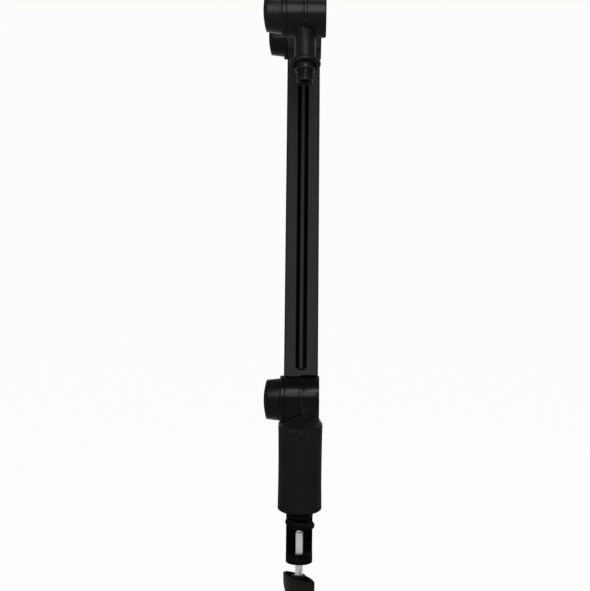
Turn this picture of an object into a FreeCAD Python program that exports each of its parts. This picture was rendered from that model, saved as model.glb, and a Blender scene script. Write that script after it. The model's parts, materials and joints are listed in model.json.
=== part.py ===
import FreeCAD, Part
import math
import os
import re

import Sketcher

# Microphone boom arm on a desk clamp, in millimetres.
# The origin is on the underside of the upper jaw's rubber, on the riser's axis, and +Z is up.
# +X runs along the three hinge pins, and the upper arm reaches out towards -Y.
# Each arm is drawn upright in its own frame: its pivot at the origin, its slot facing -Y.

SIZES = {
    # the pose
    "arm_length": 425.0,
    "lower_lean": 30.75,
    "upper_rise": 7.7,
    "head_tilt": 34.0,
    "pivot_height": 127.0,
    # arm tubes
    "tube_width": 36.0,
    "tube_depth": 30.0,
    "tube_wall": 2.5,
    "tube_corner": 4.0,
    "tube_start": 24.0,
    "slot_width": 12.0,
    "slot_start": 27.7,
    "liner_wall": 1.5,
    "liner_depth": 8.0,
    "plug_length": 36.0,
    "plug_gap": 0.1,
    "screw_radius": 2.0,
    "screw_head_radius": 3.8,
    "screw_length": 9.0,
    "screw_inset": 21.0,
    "screw_spacing": 16.0,
    # hinges, along X from the left knob to the right cap
    "hub_radius": 25.5,
    "hub_gap": 0.8,
    "hub_width": 16.4,
    "washer_thickness": 2.0,
    "washer_radius": 25.0,
    "face_gap": 0.1,
    "ear_width": 18.3,
    "edge_round": 0.8,
    "plate_thickness": 4.5,
    "plate_radius": 25.5,
    "spring_washer_thickness": 1.5,
    "spring_washer_radius": 13.0,
    "spring_washer_room": 0.5,
    "bolt_radius": 4.0,
    "bolt_gap": 0.06,
    "bolt_head_flats": 13.0,
    "bolt_head_height": 5.3,
    "head_pocket_gap": 0.2,
    "bush_radius": 6.0,
    "cap_radius": 15.0,
    "cap_thickness": 3.0,
    "cap_gap": 0.2,
    "cap_dish": 0.8,
    "knob_length": 14.0,
    "knob_radius": 22.4,
    "knob_face_radius": 20.8,
    "knob_dome": 3.1,
    "knob_round": 1.6,
    "insert_radius": 6.5,
    "insert_length": 8.5,
    # torsion springs in the base and elbow hubs
    "cavity_radius": 20.5,
    "cavity_wall": 3.5,
    "boss_radius": 8.5,
    "wire_radius": 0.9,
    "coil_radius": 14.4,
    "coil_turns": 3.5,
    "leg_bend": 2.2,
    "leg_length": 2.0,
    "leg_gap": 0.3,
    # riser
    "riser_radius": 23.5,
    "riser_waist": 23.0,
    "riser_bore": 20.5,
    "riser_edge": 1.2,
    "shoulder_height": 6.5,
    "column_radius": 19.7,
    "cap_plug": 16.0,
    "post_radius": 9.0,
    "post_height": 52.0,
    "post_gap": 0.06,
    "bush_height": 15.0,
    "thrust_thickness": 1.0,
    "thrust_radius": 21.5,
    # clamp frame
    "jaw_rubber": 1.5,
    "jaw_plate": 5.0,
    "frame_width": 28.6,
    "spine_inner": 30.0,
    "spine_thickness": 6.0,
    "throat": 45.2,
    "lower_jaw": 6.0,
    "frame_fillet": 3.0,
    "rib_width": 4.0,
    "rib_depth": 2.5,
    "post_screw_radius": 3.0,
    "post_screw_head": 5.4,
    "post_screw_length": 20.0,
    # clamp screw, foot and handle
    "rod_radius": 4.0,
    "rod_gap": 0.06,
    "thread_bush_radius": 6.5,
    "thread_bush_length": 9.0,
    "ball_radius": 3.8,
    "ball_gap": 0.2,
    "ball_drop": 12.7,
    "neck_radius": 2.1,
    "neck_length": 5.0,
    "tip_shank_radius": 1.6,
    "tip_shank_length": 7.0,
    "foot_radius": 15.8,
    "foot_plate_thickness": 4.0,
    "foot_rubber": 2.0,
    "foot_lift": 1.2,
    "foot_rim": 1.2,
    "socket_radius": 6.5,
    "socket_depth": 2.6,
    "foot_tilt": 9.0,
    "handle_drop": 68.6,
    "handle_length": 49.0,
    "handle_thickness": 18.0,
    "handle_end_thickness": 5.0,
    "handle_height": 24.0,
    "handle_end_height": 9.5,
    "handle_wall": 2.0,
    "handle_hollow": 11.0,
    "handle_boss": 5.6,
    "handle_turn": 52.5,
    "rod_in_handle": 15.0,
    "nut_flats": 13.0,
    "nut_height": 6.5,
    "nut_sink": 4.0,
    # microphone head
    "stub_radius": 10.0,
    "stub_length": 52.3,
    "flange_radius": 14.5,
    "flange_length": 6.4,
    "flange_flare": 3.2,
    "flange_round": 0.8,
    "recess_radius": 10.5,
    "recess_depth": 3.0,
    "shank_radius": 6.0,
    "shank_length": 16.0,
    "collar_radius": 8.9,
    "collar_length": 6.3,
    "collar_edge": 0.8,
    "nose_radius": 7.9375,
    "nose_length": 11.0,
    "nose_edge": 0.9,
    "end_hole_radius": 4.7625,
    "end_hole_depth": 12.0,
}

doc = FreeCAD.newDocument("boom_arm")
sheet = doc.addObject("Spreadsheet::Sheet", "Dims")
for row, (alias, size) in enumerate(SIZES.items(), 1):
    sheet.set(f"A{row}", alias)
    sheet.set(f"B{row}", str(size))
    sheet.setAlias(f"B{row}", alias)
doc.recompute()

WORDS = re.compile(r"[A-Za-z_]+")
NODES = []

# Where each hinge pin runs, as (Y, Z)
PIVOTS = {
    "base": ("0", "pivot_height"),
    "elbow": ("arm_length * sin(lower_lean)", "pivot_height + arm_length * cos(lower_lean)"),
    "head": (
        "arm_length * (sin(lower_lean) - cos(upper_rise))",
        "pivot_height + arm_length * (cos(lower_lean) + sin(upper_rise))",
    ),
}

# How far each member is turned about X from upright
TURNS = {"riser": "0", "lower": "-lower_lean", "upper": "90 - upper_rise", "head": "180 - head_tilt"}

# Stations along a hinge pin that several pieces share
HUB_RIGHT = "(0 - washer_thickness / 2 - face_gap)"
HUB_LEFT = f"({HUB_RIGHT} - hub_width)"
PLATE_LEFT = f"({HUB_LEFT} - plate_thickness)"
KNOB_RIGHT = f"({PLATE_LEFT} - face_gap)"
KNOB_SEAT = f"({KNOB_RIGHT} - spring_washer_thickness)"
EAR_LEFT = "(washer_thickness / 2)"
EAR_RIGHT = f"({EAR_LEFT} + ear_width)"
HEAD_RIGHT = f"({EAR_RIGHT} - cap_thickness)"
HEAD_LEFT = f"({HEAD_RIGHT} - bolt_head_height)"
CAVITY_LEFT = f"({HUB_LEFT} + cavity_wall)"
SADDLE = "(hub_radius + hub_gap)"

# Where a torsion spring's two legs leave its coil, as (Y, Z) in its hub's frame
COIL_END = "(360 * coil_turns)"
LEFT_LEG = ("coil_radius", "0 - leg_bend")
RIGHT_LEG = (
    f"(coil_radius * cos({COIL_END}) - leg_bend * sin({COIL_END}))",
    f"(coil_radius * sin({COIL_END}) + leg_bend * cos({COIL_END}))",
)

# Half sizes and stations of the arm tubes
TUBE_IN_X = "(tube_width / 2 - tube_wall)"
TUBE_IN_Y = "(tube_depth / 2 - tube_wall)"
LINER_BACK = f"(liner_depth - {TUBE_IN_Y})"

# Heights on the riser and the clamp
JAW_TOP = "(jaw_rubber + jaw_plate)"
RISER_FOOT = f"({JAW_TOP} + thrust_thickness)"
RISER_TOP = f"(pivot_height - {SADDLE})"
RISER_HEIGHT = f"({RISER_TOP} - {RISER_FOOT})"
LOWER_JAW_TOP = "(0 - throat)"
LOWER_JAW_FOOT = "(0 - throat - lower_jaw)"
SPINE_BACK = "(spine_inner + spine_thickness)"


def bound(expression):
    """Return the expression with each size's name pointed at the sheet."""
    return WORDS.sub(lambda m: f"Dims.{m.group()}" if m.group() in SIZES else m.group(), expression)


def value(expression):
    """Return the number that an expression of sizes comes to."""
    return float(sheet.evalExpression(bound(expression)))


def bind(thing, **expressions):
    """Tie properties of an object to expressions of sizes."""
    for name, expression in expressions.items():
        thing.setExpression(name, bound(expression))
    return thing


def move(thing, x="0", y="0", z="0", turn=None, about=(1, 0, 0)):
    """Tie an object's place, and its turn about one axis, to expressions of sizes."""
    if turn is not None:
        thing.Placement = FreeCAD.Placement(FreeCAD.Vector(), FreeCAD.Rotation(FreeCAD.Vector(*about), 1))
        thing.setExpression("Placement.Rotation.Angle", bound(turn))
    for letter, expression in (("x", x), ("y", y), ("z", z)):
        thing.setExpression(f"Placement.Base.{letter}", bound(expression))
    return thing


def node(name, thing, pivot=None, member=None):
    """Keep an object as a finished sub-part, placed on a hinge pin with one member's turn."""
    thing.Label = name
    if pivot is not None:
        turn = TURNS[member]
        move(thing, y=PIVOTS[pivot][0], z=PIVOTS[pivot][1], turn=None if turn == "0" else turn)
    NODES.append(thing)
    return thing


def cylinder(name, radius, length, start, along="z", x="0", y="0", z="0"):
    """Make a cylinder that starts at one station and runs along +X, -Y or +Z."""
    thing = bind(doc.addObject("Part::Cylinder", name), Radius=radius, Height=length)
    if along == "x":
        return move(thing, start, y, z, turn="90", about=(0, 1, 0))
    if along == "y":
        return move(thing, x, start, z, turn="90", about=(1, 0, 0))
    return move(thing, x, y, start)


def cone(name, first_radius, last_radius, length, start, along="z", x="0", y="0", z="0"):
    """Make a cone that starts at one station and runs along +Z or -Y."""
    thing = doc.addObject("Part::Cone", name)
    bind(thing, Radius1=first_radius, Radius2=last_radius, Height=length)
    if along == "y":
        return move(thing, x, start, z, turn="90", about=(1, 0, 0))
    return move(thing, x, y, start)


def box(name, across, depth, height):
    """Make a box from its two ends along X, Y and Z."""
    ends = (across, depth, height)
    spans = [f"({last}) - ({first})" for first, last in ends]
    thing = bind(doc.addObject("Part::Box", name), Length=spans[0], Width=spans[1], Height=spans[2])
    return move(thing, across[0], depth[0], height[0])


def hexagon(name, flats, length, start, along="z"):
    """Make a hexagonal prism that starts at one station and runs along +X or +Z."""
    thing = doc.addObject("Part::Prism", name)
    bind(thing, Circumradius=f"{flats} / (2 * cos(30))", Height=length)
    if along == "x":
        return move(thing, start, turn="90", about=(0, 1, 0))
    return move(thing, z=start)


def sphere(name, radius, z):
    """Make a ball on the Z axis."""
    return move(bind(doc.addObject("Part::Sphere", name), Radius=radius), z=z)


def fuse(name, *things):
    """Join several objects into one."""
    thing = doc.addObject("Part::MultiFuse", name)
    thing.Shapes = list(things)
    thing.Refine = True
    return thing


def cut(name, base, *tools):
    """Take one or more objects away from a base."""
    thing = doc.addObject("Part::Cut", name)
    thing.Base = base
    thing.Tool = tools[0] if len(tools) == 1 else fuse(f"{name}_tools", *tools)
    thing.Refine = True
    return thing


def common(name, first, second):
    """Keep what two objects share."""
    thing = doc.addObject("Part::Common", name)
    thing.Base = first
    thing.Tool = second
    return thing


def sketch(body, name, plane, outline, offset=None):
    """Draw a closed outline on one of a body's own planes, with every corner tied to sizes.

    Each corner is (x, y), or (x, y, arc) where an arc leads on to the next corner. An arc is
    (letter, centre, sense): the letter names the coordinate of its centre that is given, and the
    sense is 1 for anticlockwise.
    """
    drawing = body.newObject("Sketcher::SketchObject", name)
    support = next(p for p in body.Origin.OriginFeatures if p.Role == plane)
    drawing.AttachmentSupport = [(support, "")]
    drawing.MapMode = "FlatFace"
    if offset is not None:
        drawing.setExpression("AttachmentOffset.Base.z", bound(offset))
    corners = [FreeCAD.Vector(value(c[0]), value(c[1]), 0) for c in outline]
    ends = []
    for i, corner in enumerate(outline):
        first = corners[i]
        last = corners[(i + 1) % len(corners)]
        if len(corner) == 2:
            drawing.addGeometry(Part.LineSegment(first, last))
            ends.append((1, 2))
            continue
        letter, centre, sense = corner[2]
        middle = (first + last) / 2
        chord = last - first
        given = value(centre)
        if letter == "x":
            centre_at = FreeCAD.Vector(given, middle.y - (given - middle.x) * chord.x / chord.y, 0)
        else:
            centre_at = FreeCAD.Vector(middle.x - (given - middle.y) * chord.y / chord.x, given, 0)
        begin, stop = (first, last) if sense > 0 else (last, first)
        angles = [math.atan2(p.y - centre_at.y, p.x - centre_at.x) for p in (begin, stop)]
        circle = Part.Circle(centre_at, FreeCAD.Vector(0, 0, 1), (first - centre_at).Length)
        drawing.addGeometry(Part.ArcOfCircle(circle, angles[0], angles[1]))
        ends.append((1, 2) if sense > 0 else (2, 1))
    for i, corner in enumerate(outline):
        following = (i + 1) % len(outline)
        drawing.addConstraint(
            Sketcher.Constraint("Coincident", i, ends[i][1], following, ends[following][0])
        )
    for i, corner in enumerate(outline):
        hold(drawing, f"x{i}", "DistanceX", i, ends[i][0], corners[i].x, corner[0])
        hold(drawing, f"y{i}", "DistanceY", i, ends[i][0], corners[i].y, corner[1])
        if len(corner) == 3:
            letter, centre, sense = corner[2]
            hold(drawing, f"c{i}", f"Distance{letter.upper()}", i, 3, value(centre), centre)
    return drawing


def hold(drawing, name, kind, edge, end, now, expression):
    """Hold one coordinate of a sketch point at an expression of sizes."""
    index = drawing.addConstraint(Sketcher.Constraint(kind, -1, 1, edge, end, now))
    drawing.renameConstraint(index, name)
    drawing.setExpression(f"Constraints.{name}", bound(expression))


def turned(name, outline, along="z"):
    """Revolve an outline of (radius, station) corners about Z, or about X."""
    body = doc.addObject("PartDesign::Body", name)
    if along == "x":
        outline = [(c[1], c[0], *c[2:]) for c in outline]
    drawing = sketch(body, f"{name}_outline", "XZ_Plane", outline)
    feature = body.newObject("PartDesign::Revolution", f"{name}_turned")
    feature.Profile = drawing
    feature.ReferenceAxis = (drawing, ["V_Axis" if along == "z" else "H_Axis"])
    feature.Angle = 360
    doc.recompute()
    return body


def padded(name, plane, outline, length, offset=None, middle=False):
    """Pad an outline from one of a body's own planes."""
    body = doc.addObject("PartDesign::Body", name)
    drawing = sketch(body, f"{name}_outline", plane, outline, offset)
    feature = body.newObject("PartDesign::Pad", f"{name}_pad")
    feature.Profile = drawing
    feature.Midplane = middle
    bind(feature, Length=length)
    doc.recompute()
    return body


def pocket(body, name, plane, outline, length, reverse=False):
    """Cut an outline out of a body, and stop if nothing was cut."""
    before = body.Shape.Volume
    drawing = sketch(body, f"{name}_outline", plane, outline)
    feature = body.newObject("PartDesign::Pocket", name)
    feature.Profile = drawing
    feature.Reversed = reverse
    bind(feature, Length=length)
    doc.recompute()
    if not body.Shape.Volume < before:
        raise RuntimeError(f"{name} cuts nothing")
    return body


def rounded(body, name, radius, wanted, kind="Fillet"):
    """Fillet or chamfer those edges of a body that a test picks."""
    base = body.Tip
    chosen = [f"Edge{i}" for i, edge in enumerate(base.Shape.Edges, 1) if wanted(edge)]
    if not chosen:
        raise RuntimeError(f"{name} finds no edge")
    feature = body.newObject(f"PartDesign::{kind}", name)
    feature.Base = (base, chosen)
    bind(feature, **{"Radius" if kind == "Fillet" else "Size": radius})
    doc.recompute()
    return body


def runs_along(edge, letter):
    """Is this edge straight and parallel to one axis?"""
    if edge.Degenerated or edge.Curve.TypeId != "Part::GeomLine":
        return False
    return abs(getattr(edge.Curve.Direction, letter)) > 0.999


def runs_across(edge, depth):
    """Is this edge straight, parallel to X and at one depth along Y?"""
    return runs_along(edge, "x") and abs(edge.Vertexes[0].Y - depth) < 0.01


def circle_at(edge, letter, station, radius):
    """Is this edge a circle of one radius, at one station along an axis?"""
    if edge.Degenerated or edge.Curve.TypeId != "Part::GeomCircle":
        return False
    off = abs(getattr(edge.Curve.Center, letter) - station)
    return off < 0.01 and abs(edge.Curve.Radius - radius) < 0.01


def rectangle(half_width, half_depth):
    """Return the corners of a rectangle about the origin."""
    return [
        (f"0 - {half_width}", f"0 - {half_depth}"),
        (half_width, f"0 - {half_depth}"),
        (half_width, half_depth),
        (f"0 - {half_width}", half_depth),
    ]


def slot_outline(half_width, first, last):
    """Return the corners of an upright slot whose round ends touch two heights."""
    foot = f"{first} + {half_width}"
    top = f"{last} - {half_width}"
    return [
        (half_width, foot),
        (half_width, top, ("y", top, 1)),
        (f"0 - {half_width}", top),
        (f"0 - {half_width}", foot, ("y", foot, 1)),
    ]


# Clamp


def plan_outline(half_width, back):
    """Return a jaw's plan: a half round front about the riser's axis, square at the back."""
    return [
        (half_width, "0"),
        (half_width, back),
        (f"0 - {half_width}", back),
        (f"0 - {half_width}", "0", ("y", "0", 1)),
    ]


def make_clamp_frame():
    """Make the C frame: two round-nosed jaws on a spine with a rib down each side."""
    front = "0 - frame_width / 2"
    outline = [
        (front, "jaw_rubber"),
        ("spine_inner", "jaw_rubber"),
        ("spine_inner", LOWER_JAW_TOP),
        (front, LOWER_JAW_TOP),
        (front, LOWER_JAW_FOOT),
        (SPINE_BACK, LOWER_JAW_FOOT),
        (SPINE_BACK, JAW_TOP),
        (front, JAW_TOP),
    ]
    side = padded("clamp_side", "YZ_Plane", outline, "frame_width", middle=True)
    inner = value("spine_inner")
    back = value(SPINE_BACK)
    rounded(side, "clamp_inner_fillet", "frame_fillet", lambda e: runs_across(e, inner))
    rounded(side, "clamp_outer_fillet", "frame_fillet + lower_jaw / 2", lambda e: runs_across(e, back))
    plan = padded(
        "clamp_plan",
        "XY_Plane",
        plan_outline("frame_width / 2", SPINE_BACK),
        "throat + lower_jaw + jaw_rubber + jaw_plate",
        offset=LOWER_JAW_FOOT,
    )
    shaped = common("clamp_shaped", side, plan)
    trough = box(
        "spine_trough",
        ("rib_width - frame_width / 2", "frame_width / 2 - rib_width"),
        (f"{SPINE_BACK} - rib_depth", SPINE_BACK),
        (LOWER_JAW_TOP, "0"),
    )
    screw_hole = cylinder("post_screw_hole", "post_screw_radius + rod_gap", "jaw_plate", "jaw_rubber")
    head_room = cone(
        "post_screw_sink",
        "post_screw_head",
        "post_screw_radius + rod_gap",
        "post_screw_head - post_screw_radius - rod_gap",
        "jaw_rubber",
    )
    bush_hole = cylinder("thread_bush_hole", "thread_bush_radius", "lower_jaw", LOWER_JAW_FOOT)
    node("clamp_frame", cut("clamp_frame", shaped, trough, screw_hole, head_room, bush_hole))


def make_clamp_fittings():
    """Make the jaw's rubber, the swivel post with its screw, and the bush that holds the thread."""
    rubber = padded(
        "jaw_pad",
        "XY_Plane",
        plan_outline("frame_width / 2", "spine_inner - frame_fillet"),
        "jaw_rubber",
    )
    node("jaw_pad", rubber)
    post = cylinder("post_column", "post_radius", "post_height", JAW_TOP)
    tapped = cylinder("post_tapped", "post_screw_radius", "post_screw_length - jaw_plate", JAW_TOP)
    node("swivel_post", cut("swivel_post", post, tapped))
    shank = cylinder("post_screw_shank", "post_screw_radius", "post_screw_length", "jaw_rubber")
    head = cone(
        "post_screw_cone",
        "post_screw_head - rod_gap",
        "post_screw_radius",
        "post_screw_head - post_screw_radius - rod_gap",
        "jaw_rubber",
    )
    node("post_screw", fuse("post_screw", shank, head))
    sleeve = cylinder("thread_sleeve", "thread_bush_radius", "thread_bush_length", LOWER_JAW_FOOT)
    bore = cylinder("thread_bore", "rod_radius + rod_gap", "thread_bush_length", LOWER_JAW_FOOT)
    node("thread_bush", cut("thread_bush", sleeve, bore))


def make_clamp_screw():
    """Make the threaded rod with its ball tip and lock nut."""
    ball = sphere("tip_ball", "ball_radius", "0 - ball_drop")
    neck = cylinder("tip_neck", "neck_radius", "neck_length", "0 - ball_drop - neck_length")
    shank_foot = "0 - ball_drop - neck_length - tip_shank_length"
    shank = cylinder("tip_shank", "tip_shank_radius", "tip_shank_length", shank_foot)
    node("ball_tip", fuse("ball_tip", ball, neck, shank))
    rod_foot = "(0 - handle_drop - rod_in_handle)"
    rod_top = "(0 - ball_drop - neck_length)"
    rod = cylinder("rod_bar", "rod_radius", f"{rod_top} - {rod_foot}", rod_foot)
    socket = cylinder("rod_socket", "tip_shank_radius + rod_gap", "tip_shank_length", shank_foot)
    node("clamp_rod", cut("clamp_rod", rod, socket))
    nut_foot = "(0 - handle_drop - nut_sink)"
    nut = hexagon("nut_hexagon", "nut_flats", "nut_height", nut_foot)
    nut_bore = cylinder("nut_bore", "rod_radius", "nut_height", nut_foot)
    lock_nut = cut("handle_nut", nut, nut_bore)
    move(lock_nut, turn="0 - handle_turn", about=(0, 0, 1))
    node("handle_nut", lock_nut)


def make_handle():
    """Make the paddle handle: a lens in plan, deepest in the middle and hollow on top."""
    half = "handle_length / 2"
    top = "(0 - handle_drop)"
    end_foot = "(0 - handle_drop - handle_end_height)"
    belly = "(handle_height - handle_end_height)"
    belly_centre = f"{end_foot} - {belly} + ((handle_length / 2)^2 + {belly}^2) / (2 * {belly})"
    side_outline = [
        (half, top),
        (f"0 - {half}", top),
        (f"0 - {half}", end_foot, ("y", belly_centre, 1)),
        (half, end_foot),
    ]
    side = padded("handle_side", "XZ_Plane", side_outline, "handle_thickness * 2", middle=True)
    plan = padded(
        "handle_plan",
        "XY_Plane",
        lens_outline("(handle_length / 2)", "(handle_end_thickness / 2)", "(handle_thickness / 2)"),
        "handle_height",
        offset="0 - handle_drop - handle_height",
    )
    hollow = padded(
        "handle_well",
        "XY_Plane",
        lens_outline(
            "(handle_length / 2 - handle_wall)",
            "(handle_end_thickness / 2 - handle_wall / 2)",
            "(handle_thickness / 2 - handle_wall)",
        ),
        "handle_hollow",
        offset="0 - handle_drop - handle_hollow",
    )
    boss_height = "handle_hollow - nut_sink"
    boss = cylinder("handle_post", "handle_boss", boss_height, "0 - handle_drop - handle_hollow")
    solid = cut("handle_shell", common("handle_lens", side, plan), hollow)
    bore = cylinder("handle_bore", "rod_radius", "rod_in_handle", "0 - handle_drop - rod_in_handle")
    handle = cut("clamp_handle", fuse("handle_full", solid, boss), bore)
    move(handle, turn="0 - handle_turn", about=(0, 0, 1))
    node("clamp_handle", handle)


def lens_outline(half_length, half_end, half_middle):
    """Return the corners of a lens with blunt ends, drawn with two long arcs."""
    bulge = f"({half_middle} - {half_end})"
    centre = f"({half_middle} - ({half_length}^2 + {bulge}^2) / (2 * {bulge}))"
    return [
        (half_length, f"0 - {half_end}"),
        (half_length, half_end, ("y", centre, 1)),
        (f"0 - {half_length}", half_end),
        (f"0 - {half_length}", f"0 - {half_end}", ("y", f"0 - {centre}", 1)),
    ]


def make_foot():
    """Make the swivel foot, tipped to one side on its ball as it hangs loose."""
    plate_foot = "foot_lift"
    plate_top = "(foot_lift + foot_plate_thickness)"
    plate = turned(
        "foot_dish",
        [
            ("0", "0 - socket_depth"),
            ("socket_radius", "0 - socket_depth"),
            ("socket_radius", plate_foot),
            ("foot_radius - foot_rim", plate_foot),
            ("foot_radius", f"{plate_foot} + foot_rim"),
            ("foot_radius", plate_top),
            ("0", plate_top),
        ],
    )
    socket = sphere("foot_socket", "ball_radius + ball_gap", "0")
    foot = cut("foot_plate", plate, socket)
    rubber = turned(
        "foot_pad",
        [
            ("0", plate_top),
            ("foot_radius - foot_rim", plate_top),
            ("foot_radius - foot_rim", f"{plate_top} + foot_rubber"),
            ("0", f"{plate_top} + foot_rubber"),
        ],
    )
    for name, thing in (("foot_plate", foot), ("foot_pad", rubber)):
        move(thing, z="0 - ball_drop", turn="foot_tilt", about=(0, 1, 0))
        node(name, thing)


# Riser


def make_riser():
    """Make the waisted riser tube, its two bushes and the washer that it turns on."""
    sag = "(riser_radius - riser_waist)"
    centre = f"riser_waist + (({RISER_HEIGHT} / 2)^2 + {sag}^2) / (2 * {sag})"
    tube = turned(
        "riser_tube",
        [
            ("riser_bore", RISER_FOOT),
            ("riser_radius", RISER_FOOT, ("x", centre, -1)),
            ("riser_radius", RISER_TOP),
            ("riser_bore", RISER_TOP),
        ],
    )
    foot = value(RISER_FOOT)
    radius = value("riser_radius")
    rounded(tube, "riser_foot_round", "riser_edge", lambda e: circle_at(e, "z", foot, radius))
    node("riser_tube", tube)
    bore = "post_radius + post_gap"
    post_top = f"({JAW_TOP} + post_height)"
    for name, start in (("lower_bush", RISER_FOOT), ("upper_bush", f"({post_top} - bush_height)")):
        ring = cylinder(f"{name}_ring", "riser_bore", "bush_height", start)
        hole = cylinder(f"{name}_hole", bore, "bush_height", start)
        node(name, cut(name, ring, hole))
    disc = cylinder("thrust_disc", "thrust_radius", "thrust_thickness - face_gap", f"{JAW_TOP} + face_gap")
    hole = cylinder("thrust_hole", bore, "thrust_thickness", JAW_TOP)
    node("thrust_washer", cut("thrust_washer", disc, hole))


def make_riser_head():
    """Make the riser's cap: a cradle for the arm's hub, the base hinge's ear, and a sloped ledge beside it."""
    top = f"(0 - {SADDLE})"
    plug = cylinder("cap_plug_bar", "riser_bore", "cap_plug", f"{top} - cap_plug")
    shoulder = cone("cap_shoulder", "riser_radius", "column_radius", "shoulder_height", top)
    column_height = f"(0 - {top} - shoulder_height)"
    column = cylinder("cap_column", "column_radius", column_height, f"{top} + shoulder_height")
    far = "2 * riser_radius"
    left_room = box("cap_left_room", (f"0 - {far}", EAR_LEFT), (f"0 - {far}", far), (f"2 * {top}", far))
    full_wall = cylinder("cap_full_wall", "riser_radius", f"0 - {top}", top)
    wall = common("cap_wall", full_wall, left_room)
    cradle = cylinder("cap_cradle", SADDLE, f"{EAR_LEFT} + {far}", f"0 - {far}", "x")
    round_part = cut("cap_round", fuse("cap_stack", plug, shoulder, column, wall), cradle)
    upright = [
        ("hub_radius", top),
        ("hub_radius", "0", ("y", "0", 1)),
        ("0 - hub_radius", "0"),
        ("0 - hub_radius", top),
    ]
    slab = padded("cap_ear_slab", "YZ_Plane", upright, "ear_width", offset=EAR_LEFT)
    flow_radius = f"sqrt(hub_radius^2 + {EAR_RIGHT}^2)"
    flow = cone("cap_flow", "riser_radius", flow_radius, f"0 - {top}", top)
    dome = cylinder("cap_flow_top", flow_radius, "2 * hub_radius", "0")
    ear = common("cap_ear", slab, fuse("cap_flow_all", flow, dome))
    whole = fuse("cap_whole", round_part, ear)
    holes = [*ear_holes("riser"), leg_hole("riser", "riser", "lower")]
    node("riser_head", cut("riser_head", whole, *holes), "base", "riser")


# Hinges


def ear_holes(name):
    """Return the cuts that every ear takes: bolt hole, hexagon pocket and cap recess."""
    hole = cylinder(f"{name}_bolt_hole", "bolt_radius + bolt_gap", "ear_width", EAR_LEFT, "x")
    flats = "(bolt_head_flats + 2 * head_pocket_gap)"
    hexagon_room = hexagon(f"{name}_head_pocket", flats, "bolt_head_height + cap_thickness", HEAD_LEFT, "x")
    recess = cylinder(f"{name}_cap_recess", "cap_radius + cap_gap", "cap_thickness", HEAD_RIGHT, "x")
    return [hole, hexagon_room, recess]


def leg_hole(name, lower, upper):
    """Return the hole for a spring's right leg, from the washer's face into the lower member's ear."""
    turn = f"({TURNS[upper]} - ({TURNS[lower]}))"
    y = f"{RIGHT_LEG[0]} * cos({turn}) - {RIGHT_LEG[1]} * sin({turn})"
    z = f"{RIGHT_LEG[0]} * sin({turn}) + {RIGHT_LEG[1]} * cos({turn})"
    depth = f"{EAR_LEFT} + leg_length + leg_gap - ({HUB_RIGHT})"
    return cylinder(f"{name}_leg_hole", "wire_radius + leg_gap", depth, HUB_RIGHT, "x", y=y, z=z)


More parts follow.
